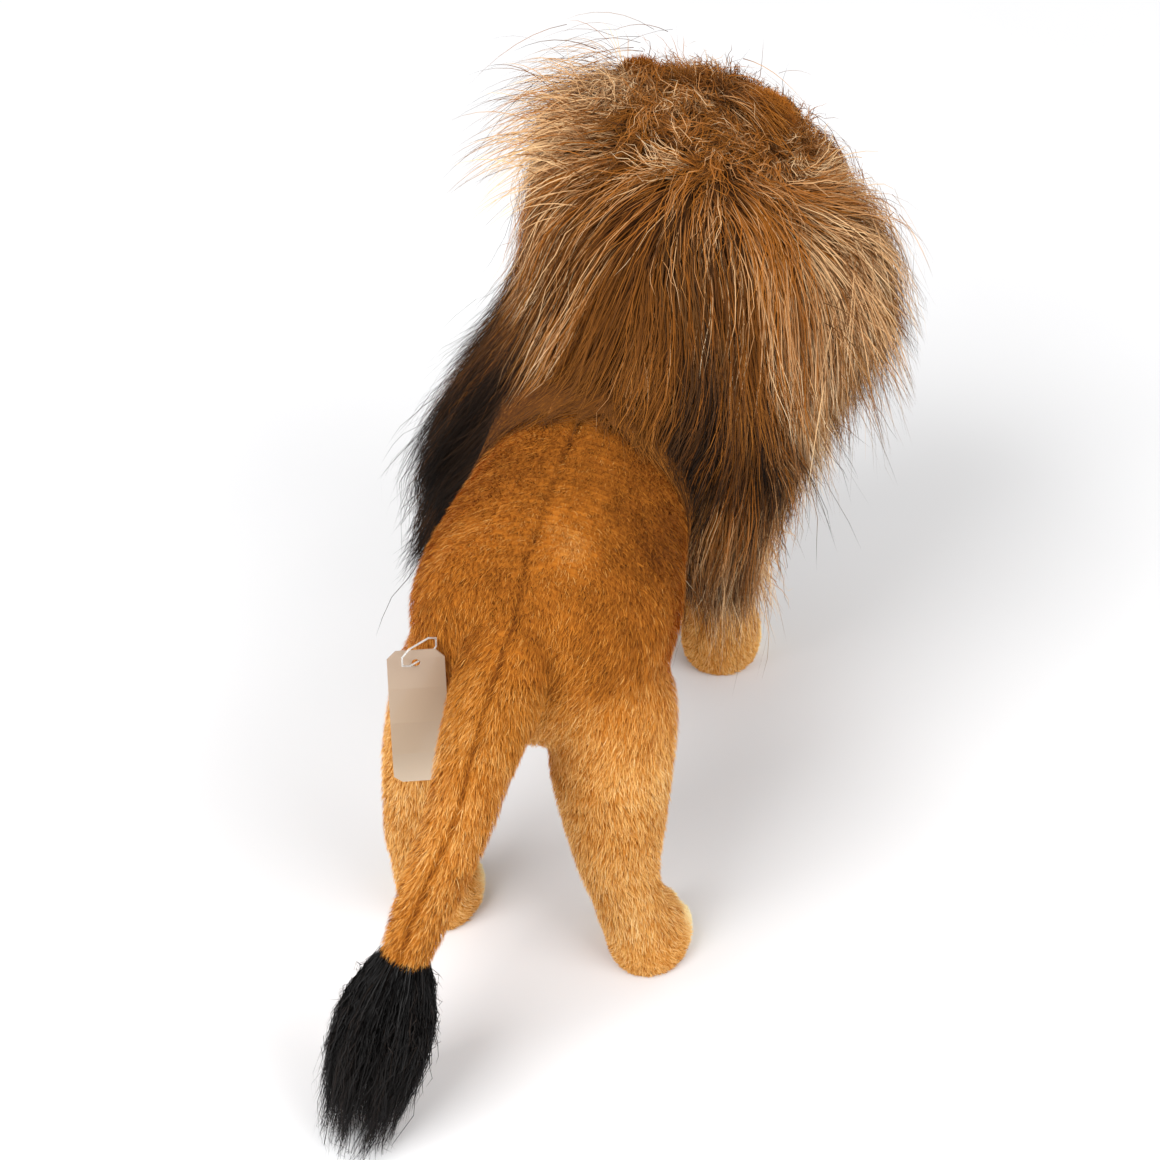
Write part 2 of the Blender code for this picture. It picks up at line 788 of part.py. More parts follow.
def build_tail(spine_bore):
    """Upper and lower tail, each with skin, stuffing and wire, and the tuft."""
    along_upper = (tail_joint - tail_root).normalized()
    along_lower = (tail_end - tail_joint).normalized()
    sideways = Vector((1.0, 0.0, 0.0))
    eye_centre = tail_joint + sideways * (wire_radius + clearance + wire_radius)
    pin_tip = eye_centre + sideways * (wire_radius + clearance + pin_radius)

    cup = ball("tail_cup", tail_joint, tail_ball_radius + joint_clearance, count=socket_segments)
    root_reach = along_upper * tail_root_radius
    rim_reach = along_upper * (tail_rim + cutter_overrun)

    upper_path = eye_points(tail_root, Vector((0.0, -1.0, 0.0)), Vector((1.0, 0.0, 0.0)))
    upper_path = [point for point in upper_path[:-1]]
    upper_path.append(tail_root + along_upper * tail_root_radius)
    upper_path.append(tail_joint)
    upper_path.append(pin_tip)
    upper_wire = bent_wire("tail_upper_wire", upper_path, wire_radius)
    upper_bore = bent_wire("tail_upper_wire_bore", longer(upper_path), wire_radius + clearance)

    lower_path = eye_points(eye_centre, Vector((0.0, 1.0, 0.0)), Vector((0.0, 0.0, 1.0)))
    lower_path.append(tail_joint.lerp(tail_end, tail_lower_shares[1][0]) + sideways * clearance)
    lower_path.append(tail_joint.lerp(tail_end, tail_lower_shares[2][0]))
    lower_wire = bent_wire("tail_lower_wire", lower_path, wire_radius)
    lower_bore = bent_wire("tail_lower_wire_bore", longer(lower_path), wire_radius + clearance)

    skin = tail_upper_form("tail_upper_skin")
    cavity = tail_upper_form("tail_upper_cavity", -skin_thickness)
    pin_way = rod(
        "tail_pin_way",
        tail_root,
        tail_root - Vector((0.0, 0.0, tail_root_radius + cutter_overrun)),
        eye_outer + clearance,
    )
    end_way = rod(
        "tail_end_way",
        tail_joint - along_upper * (tail_rim + skin_thickness + clearance),
        tail_joint,
        tail_rim_share * tail_radius - skin_thickness,
        limb_segments,
    )
    combine(skin, [cavity, cup, pin_way, end_way])
    finish_piece(skin, "pile_gold", tail_root)
    stuffing = tail_upper_form("tail_upper_stuffing", -skin_thickness - clearance)
    pocket = eye_pocket("tail_root_eye_pocket", tail_root, (0.0, 0.0, 1.0))
    combine(stuffing, [cup, pocket, spine_bore, upper_bore])
    finish_piece(stuffing, "fibre_fill", tail_root)
    finish_piece(upper_wire, "steel_wire", tail_root)

    skin = tail_lower_form("tail_lower_skin")
    cavity = tail_lower_form("tail_lower_cavity", -skin_thickness)
    middle_way = (along_upper + along_lower).normalized()
    top_way = rod(
        "tail_top_way",
        tail_joint,
        tail_joint - middle_way * (tail_ball_radius + cutter_overrun),
        tail_opening_radius,
    )
    combine(skin, [cavity, top_way])
    finish_piece(skin, "pile_gold", tail_joint)
    stuffing = tail_lower_form("tail_lower_stuffing", -skin_thickness - clearance)
    pocket = rod(
        "tail_joint_eye_pocket",
        tail_joint - sideways * (wire_radius + clearance),
        pin_tip + sideways * clearance,
        eye_outer + clearance,
    )
    combine(stuffing, [top_way, pocket, lower_bore])
    finish_piece(stuffing, "fibre_fill", tail_joint)
    finish_piece(lower_wire, "steel_wire", tail_joint)
    finish_piece(tuft_form("tail_tuft"), "tuft_black", tail_joint)


# Neck and head

neck = Vector((neck_x, -neck_forward, neck_height))
head_centre = Vector((head_x, -head_forward, head_height))
head_turn = Matrix.Translation(head_centre) @ Matrix.Rotation(-head_yaw, 4, "Z")
head_axes = head_turn.to_3x3()


def in_head(x, y, z):
    """Place given from the head's centre, with the face towards -Y."""
    return head_turn @ Vector((x, y, z))


def head_form(name, grow=0.0):
    """The whole head, back to muzzle. Its inside forms are coarser."""
    count = head_segments if grow >= 0 else head_inner_segments
    rings = []
    side = head_axes @ Vector((1.0, 0.0, 0.0))
    for along, width, top, low in head_shares:
        top_height, low_height = top * head_rise, low * head_rise
        middle = (top_height + low_height) / 2
        half = Vector((0.0, 0.0, top_height - middle))
        centre = in_head(0.0, head_back - along * head_length, middle)
        rings.append(oval_ring(centre, side * (width * head_half_width), half, half, count))
    back_tip = in_head(0.0, head_back, head_tips_share[0] * head_rise)
    front_tip = in_head(0.0, head_back - head_length, head_tips_share[1] * head_rise)
    return loft(name, rings, back_tip, front_tip, grow)


def head_box(name, low, high):
    """Box in the head's own directions."""
    return box(name, Vector(low), Vector(high), -head_yaw, head_centre)


def turned_rings(start, along, rows):
    """Round sections along a line: each row is a distance and a radius."""
    side = along.orthogonal().normalized()
    up = along.cross(side)
    rings = []
    for distance, radius in rows:
        centre = start + along * distance
        rings.append(oval_ring(centre, side * radius, up * radius, up * radius, small_segments))
    return rings


def build_eye(name, side):
    """Glass-look safety eye with its stem, and the washer that holds it inside the head."""
    inward = head_axes @ Vector((-side * eye_aim_shares[0], eye_aim_shares[1], -eye_aim_shares[2]))
    inward.normalize()
    centre = in_head(side * eye_spread, -eye_forward, eye_rise)
    rows = [(distance * eye_radius, radius * eye_radius) for distance, radius in eye_dome_shares]
    rows.append((eye_radius, eye_stem_radius))
    rows.append((eye_radius + eye_stem_length, eye_stem_radius))
    eye = loft(name, turned_rings(centre, inward, rows), centre - inward * eye_radius, None)
    socket = ball(name + "_socket", centre, eye_radius + clearance, count=eye_socket_segments)
    stem_tip = centre + inward * (eye_radius + eye_stem_length)
    stem_way = rod(name + "_stem_way", centre, stem_tip + inward * clearance, eye_stem_radius + clearance)
    finish_piece(eye, "eye_amber", neck)

    ring_radius = eye_stem_radius + clearance + washer_wire
    washer_place = centre + inward * (eye_radius + washer_gap + washer_wire)
    side_way = inward.orthogonal().normalized()
    up_way = inward.cross(side_way)
    ring = [
        washer_place
        + side_way * (ring_radius * math.cos(2 * math.pi * step / small_segments))
        + up_way * (ring_radius * math.sin(2 * math.pi * step / small_segments))
        for step in range(small_segments)
    ]
    washer = bent_wire(name + "_washer", ring, washer_wire, closed=True)
    pocket_half = inward * (washer_wire + clearance)
    pocket = rod(
        name + "_washer_pocket",
        washer_place - pocket_half,
        washer_place + pocket_half,
        ring_radius + washer_wire + clearance,
    )
    finish_piece(washer, "washer_plastic", neck)
    return [socket, stem_way, pocket]


def build_ear(name, side, head_room):
    """Cupped ear, cut to sit on the head."""
    centre = in_head(side * ear_spread, ear_back, ear_rise)
    scale = (ear_half_width / ear_half_height, ear_half_depth / ear_half_height, 1.0)
    ear = ball(name, centre, ear_half_height, scale, count=cup_segments, turn=-head_yaw)
    hollow_centre = in_head(side * ear_spread, ear_back - ear_half_depth, ear_rise)
    hollow_share = (ear_half_width - ear_hollow) / ear_half_width
    hollow = ball(
        name + "_hollow",
        hollow_centre,
        ear_half_height * hollow_share,
        scale,
        count=cup_segments,
        turn=-head_yaw,
    )
    combine(ear, [hollow, head_room])
    finish_piece(ear, "pile_gold", neck)


def build_head(neck_room, wire_ways):
    """Head skin, muzzle skin, stuffing, nose, eyes and ears."""
    cavity = head_form("head_cavity", -skin_thickness)
    front = head_box(
        "head_front",
        (-beyond, -beyond, -beyond),
        (beyond, -muzzle_seam + seam_gap / 2, beyond),
    )
    rear = head_box(
        "head_rear",
        (-beyond, -muzzle_seam - seam_gap / 2, -beyond),
        (beyond, beyond, beyond),
    )
    nose_place = in_head(0.0, head_back - head_length + nose_half_depth, -nose_drop + nose_half_height / 2)
    nose_scale = (nose_half_width / nose_half_height, nose_half_depth / nose_half_height, 1.0)
    nose = ball("nose", nose_place, nose_half_height, nose_scale, count=cup_segments, turn=-head_yaw)
    room_share = (nose_half_depth + clearance) / nose_half_depth
    nose_room = ball(
        "nose_room",
        nose_place,
        nose_half_height * room_share,
        nose_scale,
        count=cup_segments,
        turn=-head_yaw,
    )
    eye_rooms = build_eye("eye_left", 1) + build_eye("eye_right", -1)
    skin = head_form("head_skin")
    combine(skin, [cavity, neck_room, front] + eye_rooms)
    finish_piece(skin, "pile_gold", neck)
    muzzle = head_form("muzzle_skin")
    combine(muzzle, [cavity, rear, nose_room])
    finish_piece(muzzle, "pile_cream", neck)
    finish_piece(nose, "nose_brown", neck)
    stuffing = head_form("head_stuffing", -skin_thickness - clearance)
    combine(stuffing, [neck_room, nose_room] + wire_ways + eye_rooms)
    finish_piece(stuffing, "fibre_fill", neck)
    head_room = head_form("head_room", clearance)
    build_ear("ear_left", 1, head_room)
    build_ear("ear_right", -1, head_room)
    return head_room


# Mane


def mane_form(name):
    """Outer shape of the whole mane."""
    rings = []
    for height, shift, width, back, depth in mane_shares:
        rear = -(mane_back + back * mane_depth)
        middle = rear - depth * mane_depth / 2
        rings.append(
            oval_ring(
                Vector((mane_x + shift * mane_reach, middle, height * mane_height)),
                Vector((width * mane_reach, 0.0, 0.0)),
                Vector((0.0, depth * mane_depth / 2, 0.0)),
                Vector((0.0, depth * mane_depth / 2, 0.0)),
                mane_segments,
            )
        )
    tips = []
    for share, row in zip(mane_tips_share, (rings[0], rings[-1])):
        middle = sum(row, Vector()) / len(row)
        tips.append(Vector((middle.x, middle.y, share * mane_height)))
    return loft(name, rings, tips[0], tips[1])


def build_head_mane(head_room, neck_room):
    """Crown and two cheeks of long pile, which turn with the head."""
    below = box(
        "mane_below", (-beyond, -beyond, -beyond), (beyond, beyond, mane_split_height + seam_gap / 2)
    )
    ears = [
        ball("ear_room_" + label, in_head(side * ear_spread, ear_back, ear_rise), ear_room)
        for label, side in (("left", 1), ("right", -1))
    ]
    common = [below, head_room, neck_room] + ears
    edge = mane_crown_half_width
    gap = seam_gap / 2
    crown = mane_form("mane_crown")
    crown_face = head_box("crown_face", (-beyond, -beyond, -beyond), (beyond, mane_crown_line, beyond))
    crown_left = head_box("crown_left", (edge - gap, -beyond, -beyond), (beyond, beyond, beyond))
    crown_right = head_box("crown_right", (-beyond, -beyond, -beyond), (-edge + gap, beyond, beyond))
    combine(crown, common + [crown_face, crown_left, crown_right], solver="MANIFOLD")
    finish_piece(crown, "mane_tan", neck)
    face = head_box("cheek_face", (-beyond, -beyond, -beyond), (beyond, -mane_face_line, beyond))
    for label, low, high in (("left", -beyond, edge + gap), ("right", -edge - gap, beyond)):
        cheek = mane_form("mane_cheek_" + label)
        other_side = head_box("cheek_side_" + label, (low, -beyond, -beyond), (high, beyond, beyond))
        combine(cheek, common + [face, other_side], solver="MANIFOLD")
        finish_piece(cheek, "mane_tan", neck)


def build_torso_mane(torso_room, neck_skin_room):
    """Bib and two shoulder panels of long pile, which stay with the torso."""
    gap = seam_gap / 2
    above = box("mane_above", (-beyond, -beyond, mane_split_height - gap), (beyond, beyond, beyond))
    pivot = legs[2].pivot
    axle = Vector((leg_room_half_width, 0.0, 0.0))
    middle = Vector((0.0, pivot.y, pivot.z))
    drum = rod("leg_drum", middle - axle, middle + axle, leg_room_radius, socket_segments)
    under_half_width = leg_room_half_width - clearance
    under_half_depth = leg_room_radius - clearance
    under = box(
        "leg_under",
        (-under_half_width, pivot.y - under_half_depth, -cutter_overrun),
        (under_half_width, pivot.y + under_half_depth, pivot.z),
    )
    common = [above, torso_room, neck_skin_room, drum, under]
    bib = mane_form("mane_bib")
    behind = box("bib_behind", (-beyond, -bib_line - gap, -beyond), (beyond, beyond, beyond))
    left_of = box("bib_left_of", (bib_half_width - gap, -beyond, -beyond), (beyond, beyond, beyond))
    right_of = box("bib_right_of", (-beyond, -beyond, -beyond), (-bib_half_width + gap, beyond, beyond))
    combine(bib, common + [behind, left_of, right_of], solver="MANIFOLD")
    finish_piece(bib, "mane_dark", neck)
    bib_room = box(
        "bib_room",
        (-bib_half_width - gap, -beyond, -beyond),
        (bib_half_width + gap, -bib_line + gap, beyond),
    )
    for label, low, high in (("left", -beyond, gap), ("right", -gap, beyond)):
        panel = mane_form("mane_shoulder_" + label)
        other_side = box("shoulder_side_" + label, (low, -beyond, -beyond), (high, beyond, beyond))
        combine(panel, common + [bib_room, other_side], solver="MANIFOLD")
        finish_piece(panel, "mane_dark", neck)


# Wires of the torso and the head


def cross_wire(name, leg, radius, reach):
    """Bar through both pivots of a pair of legs."""
    end = Vector((abs(leg.pivot.x) + reach, 0.0, 0.0))
    middle = Vector((0.0, leg.pivot.y, leg.pivot.z))
    return rod(name, middle - end, middle + end, radius, small_segments)


def spine_path():
    """Spine wire, from the tail's pin over the cross wires to the pin of the neck."""
    hind, front = legs[0].pivot, legs[2].pivot
    over = pin_radius + wire_radius + clearance
    corners = [
        tail_root + Vector((0.0, 0.0, pin_end)),
        Vector((tail_root.x, tail_root.y, hind.z + over)) + Vector((0.0, 0.0, spine_rise)),
        Vector((0.0, hind.y, hind.z + over)),
        Vector((0.0, front.y, front.z + over)),
        Vector((0.0, front.y, front.z + shoulder_rise)),
        Vector((neck.x, neck.y, front.z + shoulder_rise + neck_bend)),
        neck + Vector((0.0, 0.0, neck_radius + head_pin_reach)),
    ]
    return rounded(corners)


def build_head_wire():
    """Wire from an eye round the neck's pin to the muzzle."""
    centre = neck + Vector((0.0, 0.0, neck_radius + head_pin_reach / 2))
    forward = head_axes @ Vector((0.0, -1.0, 0.0))
    side = head_axes @ Vector((1.0, 0.0, 0.0))
    path = eye_points(centre, side, -forward)
    path.append(centre + forward * head_wire_reach - Vector((0.0, 0.0, head_wire_drop)))
    wire = bent_wire("head_wire", path, wire_radius)
    bore = bent_wire("head_wire_bore", longer(path), wire_radius + clearance)
    finish_piece(wire, "steel_wire", neck)
    half = Vector((0.0, 0.0, wire_radius + clearance))
    pocket = rod("head_eye_pocket", centre - half, centre + half, eye_outer + clearance)
    pin_way = rod(
        "head_pin_way",
        neck,
        neck + Vector((0.0, 0.0, neck_radius + head_pin_reach + clearance)),
        pin_radius + clearance,
    )
    return [bore, pocket, pin_way]


def build_torso():
    """Torso skins, stuffing and frame wires, the neck, and what they carry."""
    room_cutters = []
    for leg in legs:
        room_cutters += leg_cutters(leg)
    room_cutters.append(
        ball("tail_socket", tail_root, tail_root_radius + joint_clearance, count=socket_segments)
    )
    room_cutters.append(tail_swing_room("tail_swing_room"))
    hip_wire = cross_wire("hip_wire", legs[0], pin_radius, pin_end)
    shoulder_wire = cross_wire("shoulder_wire", legs[2], pin_radius, pin_end)
    hip_bore = cross_wire("hip_wire_bore", legs[0], pin_radius + clearance, pin_end + clearance)
    shoulder_bore = cross_wire("shoulder_wire_bore", legs[2], pin_radius + clearance, pin_end + clearance)
    spine_wire = bent_wire("spine_wire", spine_path(), wire_radius)
    spine_bore = bent_wire("spine_wire_bore", spine_path(), wire_radius + clearance)
    cavity = torso_form("torso_cavity", -skin_thickness)
    neck_way = ball("neck_way", neck, neck_radius - skin_thickness, count=socket_segments)

    belly_low = Vector((-belly_panel_half_width, -torso_length, 0.0))
    belly_high = Vector((belly_panel_half_width, rump_reach, belly_panel_height))
    gap = Vector((seam_gap / 2, seam_gap / 2, seam_gap / 2))
    belly_room = box("belly_room", belly_low - gap, belly_high + gap)
    for label, low, high in (("left", -beyond, seam_gap / 2), ("right", -seam_gap / 2, beyond)):
        skin = torso_form("torso_skin_" + label)
        other_side = box("torso_side_" + label, (low, -beyond, -beyond), (high, beyond, beyond))
        combine(
            skin,
            [cavity, other_side, belly_room, neck_way, spine_bore] + room_cutters,
            solver="MANIFOLD",
        )
        finish_piece(skin, "pile_gold", neck)
    belly = torso_form("torso_skin_belly")
    belly_box = box("belly_box", belly_low + gap, belly_high - gap)
    combine(belly, [cavity] + room_cutters, solver="MANIFOLD")
    combine(belly, [belly_box], "INTERSECT")
    finish_piece(belly, "pile_leg", neck)

    stuffing = torso_form("torso_stuffing", -skin_thickness - clearance)
    combine(stuffing, room_cutters + [hip_bore, shoulder_bore, spine_bore], solver="MANIFOLD")
    finish_piece(stuffing, "fibre_fill", neck)
    finish_piece(hip_wire, "steel_wire", legs[0].pivot)
    finish_piece(shoulder_wire, "steel_wire", legs[2].pivot)
    finish_piece(spine_wire, "steel_wire", neck)

    torso_room = torso_form("torso_room", clearance)
    collar = ball("neck_skin", neck, neck_radius, count=socket_segments)
    top_way = rod(
        "neck_top_way", neck, neck + Vector((0.0, 0.0, neck_radius + cutter_overrun)), neck_radius / 2
    )
    combine(collar, [neck_way, torso_room, top_way, spine_bore])
    finish_piece(collar, "pile_gold", neck)
    fill = ball("neck_stuffing", neck, neck_radius - skin_thickness - clearance, count=socket_segments)
    combine(fill, [cavity, spine_bore])
    finish_piece(fill, "fibre_fill", neck)

    neck_room = ball("neck_room", neck, neck_radius + joint_clearance, count=socket_segments)
    neck_skin_room = ball("neck_skin_room", neck, neck_radius + clearance, count=socket_segments)
    for leg in legs:
        build_leg(leg, hip_bore if leg.hind else shoulder_bore)
    build_tail(spine_bore)
    head_wire_ways = build_head_wire()
    head_room = build_head(neck_room, head_wire_ways)
    build_head_mane(head_room, neck_room)
    build_torso_mane(torso_room, neck_skin_room)
    return torso_room


# Swing tag


def build_tag(rump):
    """Bare card on a thin plastic loop that is held at the left of the rump."""
    across = Vector((math.cos(tag_turn), math.sin(tag_turn), 0.0))
    normal = Vector((-math.sin(tag_turn), math.cos(tag_turn), 0.0))
    half_length = tag_length / 2
    rings = []
    for share in tag_row_shares:
        height = share * half_length
        bulge = tag_bow * (1 - share * share)
        narrowing = max(0.0, tag_corner - (half_length - abs(height)))
        half_width = tag_width / 2 - narrowing
        centre = tag_centre + Vector((0.0, 0.0, height)) + normal * bulge
        skin_half = normal * (tag_thickness / 2)
        rings.append(
            [
                centre - across * half_width - skin_half,
                centre + across * half_width - skin_half,
                centre + across * half_width + skin_half,
                centre - across * half_width + skin_half,
            ]
        )
    card = loft("tag_card", rings, None, None)
    hole = tag_centre + Vector((0.0, 0.0, half_length - tag_hole_drop))
    hole_share = (half_length - tag_hole_drop) / half_length
    hole = hole + normal * (tag_bow * (1 - hole_share * hole_share))
    punch = rod("tag_punch", hole - normal * tag_bow, hole + normal * tag_bow, tag_hole_radius)
    combine(card, [punch])
    finish_piece(card, "tag_card", hole)

    rise = Vector((0.0, 0.0, tag_loop_radius))
    _, seat, facing, _ = rump.closest_point_on_mesh(hole + rise)
    tip = seat + facing * tag_loop_wire
    inward = Vector((tip.x - hole.x, tip.y - hole.y, 0.0))
    reach = inward.length - tag_loop_radius
    inward.normalize()
    points = []
    for centre, away in ((hole - inward * tag_loop_reach, -inward), (hole + inward * reach, inward)):
        for step in range(loop_steps):
            angle = math.pi * step / (loop_steps - 1)
            swing = rise * math.cos(angle)
            if away is not inward:
                swing = -swing
            points.append(centre + rise + swing + away * (tag_loop_radius * math.sin(angle)))
    loop = bent_wire("tag_loop", points, tag_loop_wire, closed=True)
    finish_piece(loop, "loop_plastic", hole)
    return hole


def centre_on_origin():
    """Moves the lion so that its box stands centred over the origin, and returns the move."""
    bpy.context.view_layer.update()
    corners = [
        thing.matrix_world @ vertex.co for thing in parts.objects for vertex in thing.data.vertices
    ]
    low = Vector([min(corner[axis] for corner in corners) for axis in range(3)])
    high = Vector([max(corner[axis] for corner in corners) for axis in range(3)])
    move = Vector((-(low.x + high.x) / 2, -(low.y + high.y) / 2, -low.z))
    for thing in parts.objects:
        thing.location += move
    bpy.context.view_layer.update()
    return move


tag_hole = build_tag(build_torso())
shift = centre_on_origin()
print("Moved by", [round(value, 6) for value in shift])
print("Tag hangs from", [round(value, 6) for value in tag_hole + shift])
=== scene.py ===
import json
import math

import bpy
import numpy as np
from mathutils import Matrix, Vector
from mathutils.bvhtree import BVHTree
from mathutils.kdtree import KDTree


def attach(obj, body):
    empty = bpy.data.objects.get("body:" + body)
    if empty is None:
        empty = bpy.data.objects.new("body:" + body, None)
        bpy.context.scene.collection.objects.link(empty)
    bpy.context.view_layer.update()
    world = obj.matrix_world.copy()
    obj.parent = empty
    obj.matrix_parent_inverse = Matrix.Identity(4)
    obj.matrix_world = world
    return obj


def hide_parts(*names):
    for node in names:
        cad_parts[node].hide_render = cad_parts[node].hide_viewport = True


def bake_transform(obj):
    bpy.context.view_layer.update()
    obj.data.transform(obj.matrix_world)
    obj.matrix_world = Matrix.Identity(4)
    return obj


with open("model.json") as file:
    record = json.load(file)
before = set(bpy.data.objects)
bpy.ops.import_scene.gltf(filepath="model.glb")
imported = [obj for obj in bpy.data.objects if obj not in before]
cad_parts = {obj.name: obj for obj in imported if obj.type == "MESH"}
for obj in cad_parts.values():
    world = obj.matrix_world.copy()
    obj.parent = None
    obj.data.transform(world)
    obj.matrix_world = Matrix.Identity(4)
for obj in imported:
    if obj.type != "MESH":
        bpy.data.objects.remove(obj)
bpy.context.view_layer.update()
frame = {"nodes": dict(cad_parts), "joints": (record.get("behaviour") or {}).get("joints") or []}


# Camera

# The lion faces -Y, its right side is -X and it stands on z = 0. Places below are in its own
# axes, in metres, and lion_at carries them to the frame by way of the neck's joint.
neck_pivot = np.array((-0.014, -0.222, 0.232))
neck_joint = next(joint for joint in frame["joints"] if joint["name"] == "head_turn")
lion_at = np.array(neck_joint["pos_m"]) - neck_pivot


def link(name, data):
    """Puts new data into the scene as an object."""
    made = bpy.data.objects.new(name, data)
    bpy.context.scene.collection.objects.link(made)
    return made


camera_place = np.array((-0.1826, 0.7198, 0.8033))
camera_aim = Vector((0.1695, -0.7630, -0.6236))
camera_data = bpy.data.cameras.new("camera")
camera_data.lens = 78.26
camera_data.sensor_width = 36
camera = link("camera", camera_data)
camera.location = lion_at + camera_place
camera.rotation_mode = "QUATERNION"
camera.rotation_quaternion = camera_aim.to_track_quat("-Z", "Y")
bpy.context.scene.camera = camera


# Floor and light

# A studio table of white card, lit by one broad soft lamp on the lion's left and a weaker one on
# its right. The shadows are faint and lie to the right of the paws.
bpy.context.scene.view_settings.view_transform = "Standard"


def linear(code):
    """An sRGB hex colour as the linear values that a shader takes."""
    parts = [int(code[i:i + 2], 16) / 255 for i in (0, 2, 4)]
    return [p / 12.92 if p <= 0.04045 else ((p + 0.055) / 1.055) ** 2.4 for p in parts] + [1.0]


def add_node(tree, kind, sockets=None, stops=None, **settings):
    """Adds one node. settings are its properties, sockets its inputs by name or number, each a
    value or another node's output, and stops are a ramp's places and colours."""
    made = tree.nodes.new("ShaderNode" + kind)
    for name, value in settings.items():
        setattr(made, name, value)
    for name, value in (sockets or {}).items():
        if isinstance(value, bpy.types.NodeSocket):
            tree.links.new(value, made.inputs[name])
        else:
            made.inputs[name].default_value = value
    for number, (place, code) in enumerate(stops or []):
        marks = made.color_ramp.elements
        stop = marks[number] if number < len(marks) else marks.new(place)
        stop.position = place
        stop.color = linear(code)
    return made


def new_material(name):
    """An empty node material and its tree, with the surface's output."""
    made = bpy.data.materials.new(name)
    made.use_nodes = True
    made.node_tree.nodes.clear()
    return made, made.node_tree, made.node_tree.nodes.new("ShaderNodeOutputMaterial")


def mottled(name, spots, colours, values, detail=2.0, grain=None):
    """A material that wanders between two colours. spots is how many patches fill a metre, values
    are the surface's other inputs, and grain is the strength and depth of its fine relief."""
    made, tree, output = new_material(name)
    where = add_node(tree, "TexCoord")
    sockets = {"Vector": where.outputs["Object"], "Scale": spots, "Detail": detail}
    noise = add_node(tree, "TexNoise", sockets).outputs["Fac"]
    tint = add_node(tree, "ValToRGB", {"Fac": noise}, [(0.3, colours[0]), (0.7, colours[1])])
    values = {"Base Color": tint.outputs["Color"], **values}
    if grain:
        relief = {"Height": noise, "Strength": grain[0], "Distance": grain[1]}
        values["Normal"] = add_node(tree, "Bump", relief).outputs["Normal"]
    surface = add_node(tree, "BsdfPrincipled", values)
    tree.links.new(surface.outputs[0], output.inputs["Surface"])
    return made


# White card: matt, with the faint unevenness of a used sheet, in patches of about 330 mm.
card = mottled("White table card", 3.0, ("E6E6E7", "EBEBEC"), {"Roughness": 0.9})
FLOOR_HALF = 6
floor_mesh = bpy.data.meshes.new("floor")
floor_corners = [(x * FLOOR_HALF, y * FLOOR_HALF, 0) for x, y in ((-1, -1), (1, -1), (1, 1), (-1, 1))]
floor_mesh.from_pydata(floor_corners, [], [(0, 1, 2, 3)])
floor_mesh.materials.append(card)
floor = link("floor", floor_mesh)

world = bpy.data.worlds.new("studio")
bpy.context.scene.world = world
world.use_nodes = True
background = world.node_tree.nodes["Background"]
background.inputs["Color"].default_value = linear("FFFFFF")
background.inputs["Strength"].default_value = 0.66


def soft_lamp(name, place, target, width, power):
    """A square soft box at place that faces target."""
    data = bpy.data.lights.new(name, "AREA")
    data.size = width
    data.energy = power
    lamp = link(name, data)
    lamp.location = lion_at + np.array(place)
    lamp.rotation_mode = "QUATERNION"
    facing = Vector(target) - Vector(place)
    lamp.rotation_quaternion = facing.to_track_quat("-Z", "Y")


lion_middle = (0, -0.1, 0.1)
soft_lamp("key_lamp", (1.5, 2.3, 2.9), lion_middle, 2.4, 142)
soft_lamp("fill_lamp", (-2.4, 1.2, 2.4), lion_middle, 2.4, 60)


# Body, legs and tail: the sewn skin

# One stuffed skin of short-pile plush, sewn from panels and filled tight with fibre. It is made
# as closed forms for the trunk, four legs, neck and tail, fused and smoothed into one surface,
# and then cut where it has to bend: at the top of each leg and at the root and middle of the tail.
SKIN_PITCH = 0.0028
SKIN_INSET = 0.0012
SOLE_HEIGHT = 0.0006
SEAM_DEPTH, SEAM_WIDTH = 0.0007, 0.0022
STITCH_DEPTH, STITCH_WIDTH = 0.0022, 0.0016
BACK_SEAM_X = 0.0015
TAIL_ROOT_CUT = 0.009
FIBRE_SEED = 11


def smooth_rows(rows, steps):
    """Rows at even steps of their first column, on a smooth curve through the given ones."""
    rows = np.array(rows, float)
    key = rows[:, 0]
    at = np.linspace(key[0], key[-1], steps)
    low = np.clip(np.searchsorted(key, at, side="right") - 1, 0, len(key) - 2)
    gap = (key[low + 1] - key[low])[:, None]
    part = (at - key[low])[:, None] / gap
    slope = np.gradient(rows, key, axis=0)
    start = (1 + 2 * part) * (1 - part) ** 2 * rows[low] + part * (1 - part) ** 2 * gap * slope[low]
    end = part**2 * (3 - 2 * part) * rows[low + 1] + part**2 * (part - 1) * gap * slope[low + 1]
    return start + end


def closed_skin(rings):
    """Points and faces of a closed form over rings of equal count, with a fan at each end."""
    rings = np.array(rings)
    count, around = rings.shape[:2]
    points = np.concatenate((rings.reshape(-1, 3), [rings[0].mean(0), rings[-1].mean(0)]))
    faces = []
    for step in range(around):
        beside = (step + 1) % around
        for ring in range(count - 1):
            near, next_ring = ring * around, (ring + 1) * around
            faces.append((near + step, near + beside, next_ring + beside, next_ring + step))
        top = (count - 1) * around
        faces.append((len(points) - 2, beside, step))
        faces.append((len(points) - 1, top + step, top + beside))
    return points, faces


def unit(vectors):
    """Vectors of length one."""
    return vectors / np.maximum(np.linalg.norm(vectors, axis=-1, keepdims=True), 1e-9)


def ramp(rise, span):
    """0 to 1 while rise goes from 0 to span."""
    return np.clip(rise / span, 0, 1)


def dent(gap, width):
    """1 where the gap is 0, fading to nothing past this width."""
    return np.exp(-((gap / width) ** 2))


